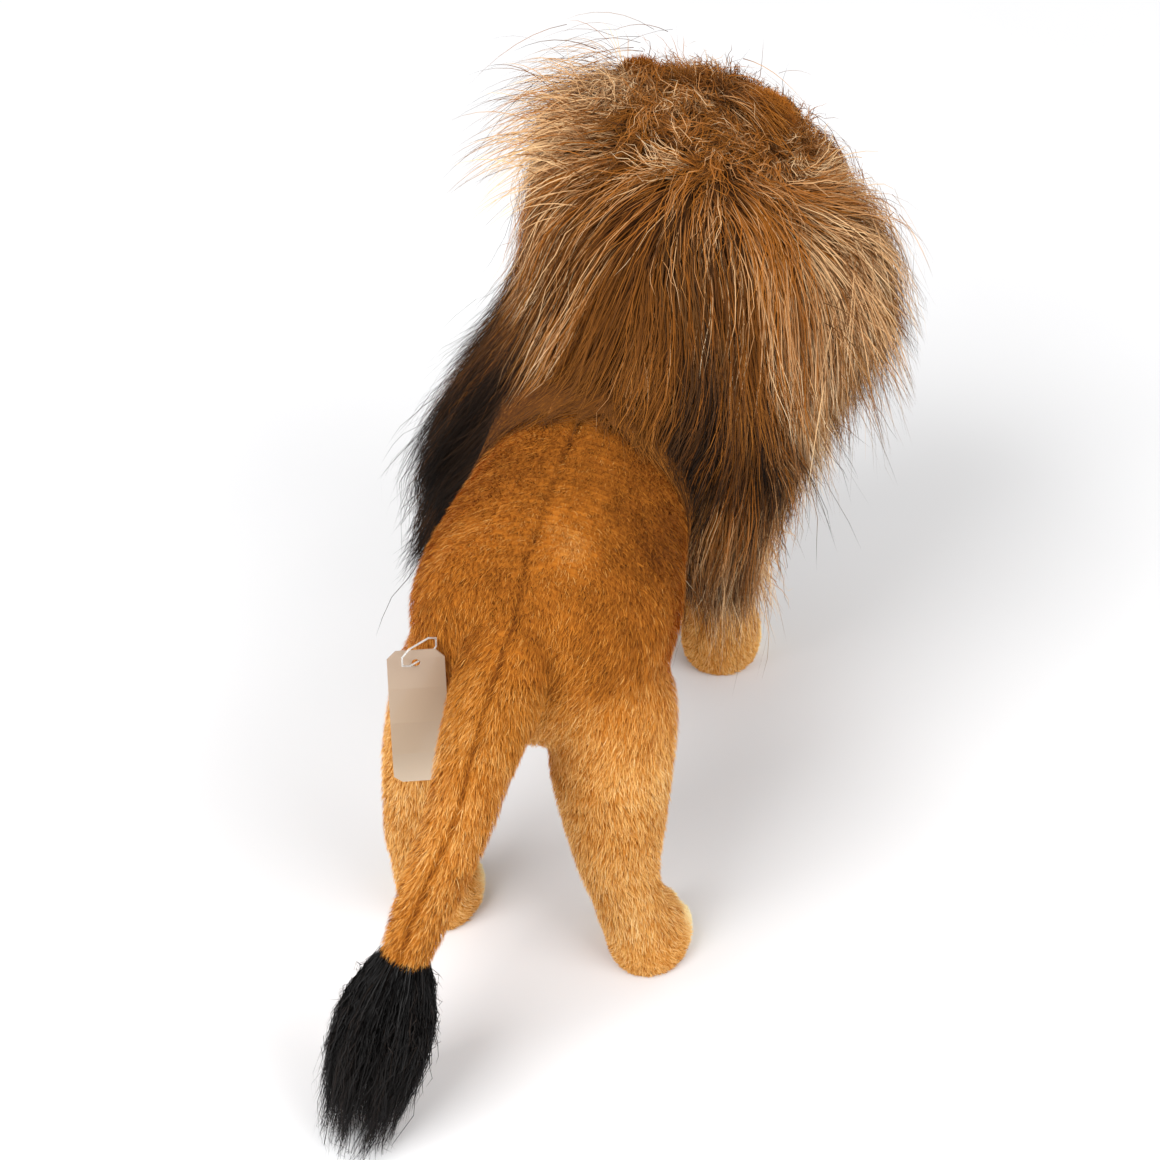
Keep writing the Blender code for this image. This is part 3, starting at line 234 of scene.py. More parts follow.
def fused(forms, pitch, rounds):
    """One smooth quad surface over closed forms that overlap, as points and faces."""
    points, faces = [], []
    for form_points, form_faces in forms:
        start = sum(len(p) for p in points)
        points.append(form_points)
        faces += [tuple(start + corner for corner in face) for face in form_faces]
    mesh = bpy.data.meshes.new("forms")
    mesh.from_pydata(np.concatenate(points).tolist(), [], faces)
    thing = link("forms", mesh)
    remesh = thing.modifiers.new("remesh", "REMESH")
    remesh.mode = "VOXEL"
    remesh.voxel_size = pitch
    soften = thing.modifiers.new("soften", "SMOOTH")
    soften.iterations = rounds
    finished = thing.evaluated_get(bpy.context.evaluated_depsgraph_get())
    result = bpy.data.meshes.new_from_object(finished)
    places = np.zeros(len(result.vertices) * 3)
    result.vertices.foreach_get("co", places)
    corners = np.zeros(len(result.loops), int)
    result.loops.foreach_get("vertex_index", corners)
    bpy.data.objects.remove(thing)
    return places.reshape(-1, 3), corners.reshape(-1, 4)


def face_spans(points, quads):
    """A normal for each quad, twice as long as its area."""
    first, second, third, fourth = points[quads.T]
    return np.cross(third - first, fourth - second)


def normals_of(points, quads):
    """A unit normal at each point of a quad surface."""
    across = face_spans(points, quads)
    total = np.zeros_like(points)
    for corner in range(4):
        np.add.at(total, quads[:, corner], across)
    return unit(total)


def waves(points, size, seed):
    """Smooth noise from about -1 to 1 at each point, with patches of about this size."""
    dice = np.random.default_rng(seed)
    total = np.zeros(len(points))
    for _ in range(7):
        way = unit(dice.normal(size=3)) * dice.uniform(0.7, 1.5) * math.pi / size
        total += np.sin(points @ way + dice.uniform(0, math.tau))
    return total / 3.0


TURN = np.linspace(0, math.tau, 48, endpoint=False)

trunk_length, trunk_half_width, back_height, rump_reach = 0.2645, 0.055, 0.217, 0.0145
trunk_rows = [
    (0.010, 0.27, 0.842, 0.680), (0.045, 0.62, 0.912, 0.604), (0.115, 0.89, 0.957, 0.548),
    (0.207, 0.98, 0.972, 0.535), (0.320, 0.92, 0.978, 0.556), (0.470, 0.82, 0.985, 0.566),
    (0.620, 0.89, 0.997, 0.513), (0.749, 0.98, 1.000, 0.475), (0.855, 0.94, 0.973, 0.478),
    (0.945, 0.70, 0.904, 0.528), (0.990, 0.27, 0.802, 0.635),
]
rings = []
for along, width, top, low in smooth_rows(trunk_rows, 44):
    middle = low + 0.54 * (top - low)
    reach = np.where(np.sin(TURN) > 0, top - middle, middle - low) * back_height
    x = width * trunk_half_width * np.cos(TURN)
    y = np.full_like(x, rump_reach - along * trunk_length)
    rings.append(np.stack((x, y, middle * back_height + reach * np.sin(TURN)), axis=1))
forms = [closed_skin(rings)]

paw_length, paw_half_width = 0.047, 0.0195
hind_rows = [
    (0, 0.51, 0.86, 0.44), (0.027, 0.51, 0.96, 0.49), (0.081, 0.51, 0.98, 0.50),
    (0.149, 0.43, 0.93, 0.41), (0.216, 0.34, 0.83, 0.33), (0.311, 0.28, 0.82, 0.32),
    (0.419, 0.26, 0.92, 0.36), (0.554, 0.31, 1.10, 0.45), (0.689, 0.37, 1.25, 0.52),
    (0.824, 0.43, 1.35, 0.57), (1.0, 0.47, 1.28, 0.55), (1.12, 0.50, 0.9, 0.4),
]
front_rows = [
    (0, 0.52, 0.87, 0.44), (0.027, 0.52, 0.99, 0.49), (0.080, 0.51, 1.02, 0.50),
    (0.147, 0.43, 0.97, 0.42), (0.227, 0.34, 0.87, 0.35), (0.333, 0.30, 0.85, 0.34),
    (0.500, 0.26, 0.92, 0.38), (0.667, 0.20, 1.08, 0.47), (0.833, 0.16, 1.28, 0.55),
    (1.0, 0.14, 1.22, 0.53), (1.12, 0.12, 0.9, 0.4),
]
stance_heights = (0.06, 0.16, 0.34, 0.68, 1.0)
legs = {
    "hind_left": (hind_rows, 0.148, -0.006, (0.046, 0.048, 0.050, 0.041, 0.030)),
    "hind_right": (hind_rows, 0.148, 0.0, (-0.048, -0.044, -0.037, -0.032, -0.030)),
    "front_left": (front_rows, 0.150, -0.200, (0.044, 0.044, 0.042, 0.038, 0.033)),
    "front_right": (front_rows, 0.150, -0.200, (-0.044, -0.044, -0.042, -0.038, -0.033)),
}
for rows, pivot_height, heel, stance in legs.values():
    rings = []
    for height, forward, half_width, half_depth in smooth_rows(rows, 40):
        x = np.interp(height, stance_heights, stance) + half_width * paw_half_width * np.cos(TURN)
        y = heel - forward * paw_length + half_depth * paw_length * np.sin(TURN)
        rings.append(np.stack((x, y, np.full_like(x, height * pivot_height)), axis=1))
    forms.append(closed_skin(rings))


def round_tube(line, radii, around=TURN):
    """A closed tube along a line of points."""
    line = np.array(line)
    ahead = unit(np.gradient(line, axis=0))
    side = unit(np.cross(ahead, (0.0, 0.31, 0.95)))
    other = np.cross(ahead, side)
    return closed_skin([
        centre + radius * (np.cos(around)[:, None] * a + np.sin(around)[:, None] * b)
        for centre, radius, a, b in zip(line, radii, side, other)
    ])


neck_line = [(0, -0.19, 0.165), (-0.006, -0.207, 0.20), (-0.014, -0.224, 0.232), (-0.02, -0.232, 0.25)]
forms.append(round_tube(neck_line, (0.036, 0.038, 0.035, 0.028)))

# The tail leaves the rump, hangs away from the thighs and ends in the tuft.
tail_root = np.array((0.003, 0.004, 0.180))
tail_joint = np.array((0.015, 0.050, 0.125))
tail_end = np.array((0.0315, 0.073, 0.074))
tail_knots = [
    (0.0, 0.001, -0.016, 0.186, 0.0215), (0.08, 0.003, 0.004, 0.180, 0.0190),
    (0.30, 0.0071, 0.0216, 0.1630, 0.0176), (0.52, 0.0110, 0.0360, 0.1455, 0.0152),
    (0.70, 0.0150, 0.0506, 0.1255, 0.0134), (0.83, 0.0216, 0.0612, 0.1060, 0.0124),
    (0.93, 0.0275, 0.0690, 0.0865, 0.0112), (1.0, 0.0315, 0.0735, 0.0730, 0.0098),
]
TAIL_STEPS = 60
tail_line = smooth_rows(tail_knots, TAIL_STEPS)
forms.append(round_tube(tail_line[:, 1:4], tail_line[:, 4]))

skin, skin_quads = fused(forms, SKIN_PITCH, rounds=7)
out = normals_of(skin, skin_quads)
skin -= out * SKIN_INSET
under = (skin[:, 2] < 0.004) & (out[:, 2] < -0.3)
skin[under, 2] = SOLE_HEIGHT

# The seam down the back and the tail pulls the skin in to a narrow groove.
tail_ahead = unit(np.gradient(tail_line[:, 1:4], axis=0))
tail_seam_side = unit(np.cross(np.cross(tail_ahead, (-0.10, 0.6, 0.8)), tail_ahead))


def on_tail(points):
    """For each point the nearest step of the tail's line, its distance from the line, and how far
    it lies from the seam's side of the line."""
    steps = np.linalg.norm(points[:, None] - tail_line[None, ::2, 1:4], axis=2)
    near = steps.argmin(1) * 2
    away = points - tail_line[near, 1:4]
    ahead, side = tail_ahead[near], tail_seam_side[near]
    away = away - (away * ahead).sum(1, keepdims=True) * ahead
    across = np.linalg.norm(np.cross(away, side), axis=1)
    return near, steps.min(1), np.where((away * side).sum(1) > 0, across, 1.0)


def seam_gap(points, normals):
    """How far each point lies from the seam down the back and the tail."""
    near, distance, tail_gap = on_tail(points)
    on_back = (normals[:, 2] > 0.3) & (points[:, 2] > 0.17)
    back_gap = np.where(on_back, np.abs(points[:, 0] - BACK_SEAM_X), 1.0)
    tail_part = (distance < tail_line[near, 4] + 0.004) & (points[:, 1] > 0.006)
    return np.where(tail_part, tail_gap, back_gap)


skin -= out * (SEAM_DEPTH * dent(seam_gap(skin, out), SEAM_WIDTH))[:, None]
out = normals_of(skin, skin_quads)
skin_tree = BVHTree.FromPolygons(skin.tolist(), skin_quads.tolist())

# Each toe is pinched off from the next by a short stitch across the front of the paw. The stitches
# set in this far ahead of the heel, fade in over this length and end at this height.
TOES_AHEAD, TOES_FADE, TOES_TOP = 0.027, 0.012, 0.022
PAW_REACH, PAW_SIDE = 0.07, 0.024
toe_shares = (-0.52, 0.0, 0.52)
for _, _, heel, stance in legs.values():
    centre = stance[0]
    front = ramp(heel - TOES_AHEAD - skin[:, 1], TOES_FADE) * (skin[:, 2] < TOES_TOP)
    front *= (np.abs(skin[:, 0] - centre) < PAW_SIDE) & (skin[:, 1] > heel - PAW_REACH)
    for share in toe_shares:
        near = dent(skin[:, 0] - centre - share * paw_half_width, STITCH_WIDTH)
        skin -= out * (STITCH_DEPTH * near * front)[:, None]
out = normals_of(skin, skin_quads)

# The skin is cut across the tail, and across the legs at these heights. The hind legs part a
# little to the left of the middle.
TAIL_SPLIT = TAIL_STEPS // 2
TAIL_WIDEST, RUMP_BACK = 0.028, 0.004
HIND_CUT, FRONT_CUT = 0.111, 0.097
HIND_LEGS_FRONT, FRONT_LEGS_BACK = -0.09, -0.12
HIND_PARTING = 0.004
middle = skin[skin_quads].mean(1)
x, y, z = middle.T
tail_step, tail_distance, _ = on_tail(middle)
past_root = (middle - tail_root) @ unit(tail_joint - tail_root)
on_the_tail = (past_root > TAIL_ROOT_CUT) & (tail_distance < TAIL_WIDEST) & (y > RUMP_BACK)
hind_low = (z < HIND_CUT) & (y > HIND_LEGS_FRONT) & ~on_the_tail
front_low = (z < FRONT_CUT) & (y < FRONT_LEGS_BACK)
part_faces = {
    "tail_upper": on_the_tail & (tail_step < TAIL_SPLIT),
    "tail_lower": on_the_tail & (tail_step >= TAIL_SPLIT),
    "hind_left": hind_low & (x > HIND_PARTING),
    "hind_right": hind_low & (x <= HIND_PARTING),
    "front_left": front_low & (x > 0),
    "front_right": front_low & (x <= 0),
}
part_faces["trunk"] = ~np.any(list(part_faces.values()), axis=0)


# Body pile

# Short acrylic pile, 3 to 6 mm long and woven into its backing. It is combed back along the trunk
# and down the legs: golden brown on the back, paler and speckled on the legs, cream on the toes and
# dark along the seams. Each fibre is a ribbon, whose UV map holds its tone across and its length up.


def fibre_material(name, ramps, blend_at, roughness, shine):
    """Fibre whose colour goes from a root ramp to a middle ramp and a tip ramp up its length. The
    fibre's tone, from 0 to 1, is its place on all three ramps."""
    made, tree, output = new_material(name)
    where = add_node(tree, "UVMap", uv_map="OFBake")
    split = add_node(tree, "SeparateXYZ", {0: where.outputs["UV"]})
    tones = [add_node(tree, "ValToRGB", {"Fac": split.outputs["X"]}, stops) for stops in ramps]
    colour = tones[0].outputs["Color"]
    for tone, (start, end) in zip(tones[1:], blend_at):
        height = {"Value": split.outputs["Y"], "From Min": start, "From Max": end}
        up = add_node(tree, "MapRange", height, interpolation_type="SMOOTHSTEP").outputs["Result"]
        layers = {"Factor": up, "A": colour, "B": tone.outputs["Color"]}
        colour = add_node(tree, "Mix", layers, data_type="RGBA").outputs["Result"]
    sockets = {"Base Color": colour, "Roughness": roughness, "IOR": 1.5, "Specular IOR Level": shine}
    surface = add_node(tree, "BsdfPrincipled", sockets)
    tree.links.new(surface.outputs[0], output.inputs["Surface"])
    return made


# Plush pile: matt with a soft sheen, and darker towards the root, painted shade that gives the nap depth.
pile = fibre_material(
    "Short acrylic pile", [
        [(0.02, "3A200D"), (0.2, "6C3A0E"), (0.45, "AA6219"), (0.65, "CC9040"), (0.98, "E6CA84")],
        [(0.02, "45280F"), (0.2, "864812"), (0.45, "C27826"), (0.65, "E8AF60"), (0.98, "FBE6AE")],
        [(0.02, "53300F"), (0.2, "9E5817"), (0.45, "D48A34"), (0.65, "F6C67C"), (0.98, "FFF2C4")],
    ], blend_at=[(0.0, 0.4), (0.5, 1.0)], roughness=0.85, shine=0.12,
)


MAP_HALF_WIDTH = 0.004
FLOOR_GAP = 0.0007


def fill_mesh(name, points, corners, starts, maps, material):
    """A smooth mesh with its OFBake map, from flat arrays."""
    mesh = bpy.data.meshes.new(name)
    mesh.vertices.add(len(points))
    mesh.vertices.foreach_set("co", (points + lion_at).astype(np.float32).ravel())
    mesh.loops.add(len(corners))
    mesh.loops.foreach_set("vertex_index", corners.astype(np.int32))
    mesh.polygons.add(len(starts))
    mesh.polygons.foreach_set("loop_start", starts.astype(np.int32))
    mesh.polygons.foreach_set("use_smooth", np.ones(len(starts), bool))
    uv = mesh.uv_layers.new(name="OFBake")
    uv.data.foreach_set("uv", maps.astype(np.float32).ravel())
    mesh.update(calc_edges=True)
    mesh.validate()
    mesh.materials.append(material)
    return link(name, mesh)


def skin_piece(name, points, quads, tones, material):
    """The woven backing under the pile, in the pile's own root tones."""
    used, corners = np.unique(quads, return_inverse=True)
    across = np.clip(tones[:, None] + np.array((-1, 1, 1, -1)) * MAP_HALF_WIDTH, 0.005, 0.995)
    up = np.tile((0.05, 0.05, 0.3, 0.3), (len(quads), 1))
    starts = np.arange(len(quads)) * 4
    return fill_mesh(name, points[used], corners.ravel(), starts, np.stack((across, up), axis=2), material)


def ribbons(name, lines, sides, tones, material):
    """One ribbon for each line of points. sides holds half its width, as a vector at each point."""
    count, rows = lines.shape[:2]
    lines[..., 2] = np.maximum(lines[..., 2], FLOOR_GAP)
    left, right = lines[:, :-1] - sides[:, :-1], lines[:, :-1] + sides[:, :-1]
    body = np.stack((left, right), axis=2).reshape(count, -1, 3)
    points = np.concatenate((body, lines[:, -1:]), axis=1)
    per = points.shape[1]
    corners, maps, starts = [], [], []
    heights = np.linspace(0.01, 0.99, rows)
    for row in range(rows - 2):
        corners += [2 * row, 2 * row + 1, 2 * row + 3, 2 * row + 2]
        low, high = heights[row], heights[row + 1]
        maps += [(-1, low), (1, low), (1, high), (-1, high)]
        starts.append(4 * row)
    corners += [per - 3, per - 2, per - 1]
    maps += [(-1, heights[-2]), (1, heights[-2]), (0, heights[-1])]
    starts.append(4 * (rows - 2))
    corners, maps = np.array(corners), np.array(maps)
    every = np.arange(count)[:, None]
    all_maps = np.empty((count, len(maps), 2))
    all_maps[:, :, 0] = np.clip(tones[:, None], 0.008, 0.992) + MAP_HALF_WIDTH * maps[None, :, 0]
    all_maps[:, :, 1] = maps[None, :, 1]
    all_corners = (every * per + corners).ravel()
    all_starts = (every * len(corners) + np.array(starts)).ravel()
    return fill_mesh(name, points.reshape(-1, 3), all_corners, all_starts, all_maps, material)


def scatter(points, quads, normals, weight, count, dice):
    """Random places on a quad surface with their normals, in proportion to area times weight."""
    share = np.linalg.norm(face_spans(points, quads), axis=1) * weight
    face = dice.choice(len(quads), size=count, p=share / share.sum())
    a, b = dice.random((2, count, 1))
    mix = ((1 - a) * (1 - b), a * (1 - b), a * b, (1 - a) * b)
    place = sum(m * points[quads[face, k]] for k, m in enumerate(mix))
    way = unit(sum(m * normals[quads[face, k]] for k, m in enumerate(mix)))
    return place, way


# A ribbon is drawn about ten times as wide as a real fibre, which would be too fine to show.
PILE_WIDTH = 0.0003
PILE_ROOT_DEPTH = 0.0006
COMB_DRIFT, COMB_SCATTER = 0.22, 0.26


def short_pile(name, place, way, comb, length, tones, dice, lie=0.58):
    """Short fibres that leave the skin at a low angle along the comb's direction. lie is how much
    they rise."""
    count = len(place)
    comb = comb + waves(place, 0.02, 5)[:, None] * COMB_DRIFT * np.cross(way, comb)
    comb = comb + dice.normal(scale=COMB_SCATTER, size=(count, 3))
    comb = unit(comb - (comb * way).sum(1, keepdims=True) * way)
    rise = (lie + dice.normal(scale=0.09, size=count))[:, None]
    reach = (length * dice.uniform(0.75, 1.15, count))[:, None]
    first = unit(comb + way * (rise + 0.25))
    second = unit(comb + way * (rise - 0.25))
    sunk = place - way * PILE_ROOT_DEPTH
    lines = np.stack((sunk, sunk + first * reach * 0.5, sunk + (first + second) * reach * 0.5), axis=1)
    turn = unit(np.cross(comb, way) + way * dice.normal(scale=0.45, size=(count, 1)))
    half = np.array((1.0, 0.85, 0.0))[None, :, None] * PILE_WIDTH / 2
    return ribbons(name, lines, turn[:, None] * half, tones, pile)


LEG_TOP, FOOT_TOP = 0.17, 0.022


def body_comb(place, way):
    """The way the pile lies: back along the trunk, down the legs and along the tail."""
    near, distance, _ = on_tail(place)
    _, y, z = place.T
    comb = np.tile((0.0, 1.0, -0.45), (len(place), 1))
    low = ramp(LEG_TOP - z, 0.07)[:, None]
    comb = comb * (1 - low) + np.array((0.0, 0.12, -1.0)) * low
    foot = ramp(FOOT_TOP - z, 0.015)[:, None]
    comb = comb * (1 - foot) + np.array((0.0, -0.9, -0.5)) * foot
    tail = ramp(tail_line[near, 4] + 0.008 - distance, 0.005) * ramp(y - 0.004, 0.014)
    return comb * (1 - tail[:, None]) + tail_ahead[near] * tail[:, None]


BACK_TONE, TOE_TONE, SEAM_TONE = 0.42, 0.93, 0.10
SEAM_MARK_WIDTH = 0.0010


def body_tone(place, way, dice, speckled=True):
    """Where a fibre sits on the pile's ramps, from dark seam to cream toe."""
    count = len(place)
    x, y, z = place.T
    near, distance, _ = on_tail(place)
    on_it = (distance < tail_line[near, 4] + 0.004) & (y > 0.008)
    # The back is the darkest, the thighs and legs are paler and the tail fades from root to middle.
    tone = np.full(count, BACK_TONE)
    tone += 0.20 * ramp(0.185 - z, 0.065)
    down_tail = near / TAIL_STEPS
    tail_tone = 0.33 + 0.20 * ramp(down_tail, 0.45) - 0.08 * ramp(down_tail - 0.7, 0.2)
    tone = np.where(on_it, tail_tone, tone)
    # Painted shade: the upper flank on the lion's right, the side away from the key lamp, is drawn darker.
    tone -= 0.10 * ramp(-0.012 - x, 0.03) * ramp(z - 0.140, 0.035)
    tone += 0.05 * np.clip(-way[:, 2], 0, 1)
    tone -= 0.05 * ramp(z - 0.185, 0.02) * ~on_it
    # A painted highlight: a paler patch on top of the rump, where the light falls.
    rump_highlight = np.exp(-(((x + 0.012) / 0.014) ** 2 + ((y + 0.03) / 0.02) ** 2)) * (z > 0.18)
    tone += 0.13 * rump_highlight
    tone += 0.035 * waves(place, 0.035, 3) + 0.03 * waves(place * (1, 1, 0.35), 0.008, 4)
    tone += dice.normal(scale=0.085 * speckled, size=count)
    # Fine dark streaks and single dark fibres, more of both on the legs.
    streak = np.clip(waves(place * (1, 1, 0.22), 0.0014, 6) - 0.25, 0, 0.6)
    tone -= streak * (0.08 + 0.06 * ramp(0.16 - z, 0.05))
    speckle = dice.random(count) < speckled * (0.05 + 0.15 * ramp(0.15 - z, 0.05))
    tone = np.where(speckle, tone - dice.uniform(0.12, 0.36, count), tone)
    for _, _, heel, stance in legs.values():
        toe = ramp(heel - 0.017 - y, 0.012) * ramp(0.024 - z, 0.006)
        toe *= (np.abs(x - stance[0]) < 0.026) & (y > heel - PAW_REACH)
        tone = tone * (1 - toe) + (TOE_TONE + 0.3 * (tone - 0.5)) * toe
    seam = (0.85 - 0.15 * on_it) * dent(seam_gap(place, way), SEAM_MARK_WIDTH)
    return np.clip(tone * (1 - seam) + SEAM_TONE * seam, 0.01, 0.99)


# The CAD nodes that each part of the skin stands for, and its colour slot.
trunk_nodes = [
    "torso_skin_left", "torso_skin_right", "torso_skin_belly", "torso_stuffing",
    "neck_skin", "neck_stuffing",
]
pieces_of = {"trunk": (trunk_nodes, "pile_gold")}
for part in ("tail_upper", "tail_lower"):
    pieces_of[part] = ([part + "_skin", part + "_stuffing"], "pile_gold")
for leg_name in legs:
    pieces_of[leg_name] = ([f"leg_{leg_name}_{part}" for part in ("skin", "stuffing", "sole")], "pile_leg")
fibre_counts = {"trunk": 96000, "tail_upper": 13000, "tail_lower": 11000}
LEG_FIBRES = 24000


def bend_with(piece, part):
    """Makes the trunk's pieces follow the torso, and fixes the tail's and legs' pieces where they are."""
    if part == "trunk":
        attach(piece, "torso")
    elif part == "tail_upper":
        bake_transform(piece)
    elif part == "tail_lower":
        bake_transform(piece)
    else:
        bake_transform(piece)


for number, (part, faces) in enumerate(part_faces.items()):
    nodes, slot = pieces_of[part]
    dice = np.random.default_rng(FIBRE_SEED + number)
    quads = skin_quads[faces]
    face_middle = skin[quads].mean(1)
    face_way = unit(out[quads].mean(1))
    face_tone = body_tone(face_middle, face_way, dice, speckled=False)
    backing = skin_piece(f"{part}_skin_backing", skin, quads, face_tone, pile)
    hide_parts(*nodes)
    bend_with(backing, part)
    # No pile on the soles, and little where the mane covers the shoulders.
    weight = np.where((face_way[:, 2] < -0.6) & (face_middle[:, 2] < 0.006), 0.0, 1.0)
    halves = [("pile", weight > 0)]
    if part == "trunk":
        weight *= np.where(face_middle[:, 1] < -0.165, 0.35, 1.0)
        halves = [("left", face_middle[:, 0] > 0), ("right", face_middle[:, 0] <= 0)]
    for side, chosen in halves:
        count = fibre_counts.get(part, LEG_FIBRES) // len(halves)
        place, way = scatter(skin, quads, out, weight * chosen, count, dice)
        length = 0.0056 - 0.0018 * ramp(0.030 - place[:, 2], 0.015)
        comb, tones = body_comb(place, way), body_tone(place, way, dice)
        piece = short_pile(f"{part}_{side}_fibres", place, way, comb, length, tones, dice)
        bend_with(piece, part)


# Tail tuft

# Straight black pile, mostly 20 to 50 mm long, sewn round the end of the tail and gathered to a
# few ragged points.
TUFT_RADIUS = 0.0178
CORE_LENGTH = 0.68
tuft_tip = np.array((0.045, 0.108, 0.008))
tuft_ahead = unit(tuft_tip - tail_end)

# Black pile: deep, a little shiny along the fibre, with a few browner hairs.
black_pile = fibre_material(
    "Black long pile", [
        [(0.0, "070606"), (0.5, "0D0B0B"), (1.0, "2A1D15")],
        [(0.0, "090808"), (0.5, "110E0D"), (1.0, "33241A")],
        [(0.0, "0C0A0A"), (0.5, "1A1513"), (1.0, "3E2D21")],
    ], blend_at=[(0.0, 0.3), (0.5, 1.0)], roughness=0.5, shine=0.2,
)
dice = np.random.default_rng(FIBRE_SEED + 20)
tuft_side = unit(np.cross(tuft_ahead, (0.0, 0.0, 1.0)))
tuft_up = np.cross(tuft_ahead, tuft_side)
tuft_rows = np.array([
    (0, 0.55), (0.12, 0.80), (0.32, 1.0), (0.52, 1.0), (0.72, 0.86), (0.90, 0.72), (1.0, 0.68),
])
tuft_length = float(np.linalg.norm(tuft_tip - tail_end)) + 0.004
rings = []
for along, radius in smooth_rows(tuft_rows[:6], 16):
    spread = radius * TUFT_RADIUS * (0.74 - 0.30 * along)
    centre = tail_end + tuft_ahead * tuft_length * along * CORE_LENGTH
    ring = np.cos(TURN)[:, None] * tuft_side + np.sin(TURN)[:, None] * tuft_up
    rings.append(centre + spread * ring)
core_points, core_faces = closed_skin(rings)
core_points, core_quads = fused([(core_points, core_faces)], pitch=0.002, rounds=4)
core_tones = np.full(len(core_quads), 0.2)
core = skin_piece("tuft_core", core_points, core_quads, core_tones, black_pile)
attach(core, "tail_lower")
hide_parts("tail_tuft")

# The hairs leave the tail's end all round, swell out and gather to six ragged points.
TUFT_HAIRS, HAIR_ROWS = 11000, 7
TUFT_HALF_WIDTHS = (0.00018, 0.00015, 0.00006)
count = TUFT_HAIRS
angle = dice.uniform(0, math.tau, count)
spread = np.sqrt(dice.uniform(0.25, 1.15, count))
start = dice.uniform(-0.02, 0.35, count)
reach = np.clip(dice.normal(0.47, 0.19, count), 0.15, 0.98)
steps = np.linspace(0, 1, HAIR_ROWS)
along = np.minimum(start[:, None] + reach[:, None] * steps, 0.92 + 0.18 * dice.random((count, 1)))
radius = np.interp(along, tuft_rows[:, 0], tuft_rows[:, 1]) * TUFT_RADIUS * spread[:, None]
clump_angles = np.array((0.3, 1.5, 2.6, 3.7, 4.6, 5.6))
turns = (angle[:, None] - clump_angles + math.pi) % math.tau - math.pi
gather = clump_angles[np.abs(turns).argmin(1)]
turn_to = (gather - angle + math.pi) % math.tau - math.pi
late = ramp(along - 0.45, 0.45)
bent = angle[:, None] + turn_to[:, None] * 0.75 * late
bent = bent + dice.normal(scale=0.16, size=(count, 1)) * late
sideways = np.cos(bent)[..., None] * tuft_side + np.sin(bent)[..., None] * tuft_up
lines = tail_end + tuft_ahead * (tuft_length * along)[..., None] + sideways * radius[..., None]
lines += dice.normal(scale=0.0022, size=(count, 1, 3)) * steps[None, :, None] ** 1.5
lines += dice.normal(scale=0.0013, size=lines.shape) * np.sqrt(steps)[None, :, None]
lines[..., 2] -= np.clip(along - 0.5, 0, 1) ** 2 * 0.006
lines[..., 2] = np.maximum(lines[..., 2], 0.0012)
half = np.interp(steps, (0, 0.6, 1), TUFT_HALF_WIDTHS)
facing = unit(np.cross(np.gradient(lines, axis=1), sideways) + 0.4 * dice.normal(size=(count, 1, 3)))
tones = np.clip(dice.normal(0.3, 0.2, count), 0.02, 0.98)
tuft = ribbons("tuft_hair", lines, facing * half[None, :, None], tones, black_pile)
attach(tuft, "tail_lower")


# Head

# A stuffed plush head with a broad muzzle, brow ridges, glass-like amber eyes, a flocked nose and
# two cupped ears, turned to its right on the neck. The photograph shows only the ears' tops.
head_centre = np.array((-0.026, -0.238, 0.2565))
head_yaw = math.radians(-18)
head_axes = np.array([
    (math.cos(head_yaw), math.sin(head_yaw), 0.0),
    (-math.sin(head_yaw), math.cos(head_yaw), 0.0),
    (0.0, 0.0, 1.0),
])


def from_head(points):
    """Places in the head's own axes as places on the lion."""
    return head_centre + np.asarray(points) @ head_axes


def to_head(points):
    """Places on the lion in the head's own axes."""
    return (points - head_centre) @ head_axes.T


def egg(centre, half, around=TURN, rings=16):
    """A closed egg form in the head's axes, as points and faces."""
    rows = []
    for lift in np.linspace(-1.45, 1.45, rings):
        wide = math.cos(lift)
        rows.append(np.stack((
            centre[0] + half[0] * wide * np.cos(around),
            centre[1] + half[1] * wide * np.sin(around),
            np.full_like(around, centre[2] + half[2] * math.sin(lift)),
        ), axis=1))
    return closed_skin(rows)


head_rows = [
    (0.017, 0.33, 0.38, -0.29), (0.069, 0.62, 0.67, -0.57), (0.172, 0.86, 0.88, -0.79),
    (0.319, 1.0, 1.0, -0.86), (0.466, 0.98, 0.97, -0.88), (0.586, 0.86, 0.80, -0.87),
    (0.672, 0.72, 0.56, -0.85), (0.759, 0.61, 0.36, -0.83), (0.862, 0.54, 0.23, -0.78),
    (0.940, 0.43, 0.11, -0.68), (0.983, 0.24, -0.03, -0.50),
]
head_length, head_half_width, head_rise, head_back = 0.116, 0.042, 0.042, 0.040
HEAD_INSET = 0.0008
rings = []
for along, width, top, low in smooth_rows(head_rows, 34):
    middle_height = (top + low) / 2
    x = width * head_half_width * np.cos(TURN)
    y = np.full_like(x, head_back - along * head_length)
    z = head_rise * (middle_height + (top - low) / 2 * np.sin(TURN))
    rings.append(np.stack((x, y, z), axis=1))
head_forms = [closed_skin(rings)]
# Muzzle pads, brows and cheeks in pairs, and the chin.
for side in (-1, 1):
    head_forms.append(egg((side * 0.0095, -0.0585, -0.0150), (0.0125, 0.0150, 0.0115)))
    head_forms.append(egg((side * 0.0165, -0.0350, 0.0185), (0.0120, 0.0080, 0.0055)))
    head_forms.append(egg((side * 0.0230, -0.0260, -0.0100), (0.0170, 0.0170, 0.0180)))
head_forms.append(egg((0.0, -0.0540, -0.0290), (0.0125, 0.0120, 0.0080)))
head_skin, head_quads = fused(head_forms, pitch=0.0019, rounds=4)
head_out = normals_of(head_skin, head_quads)
head_skin -= head_out * HEAD_INSET

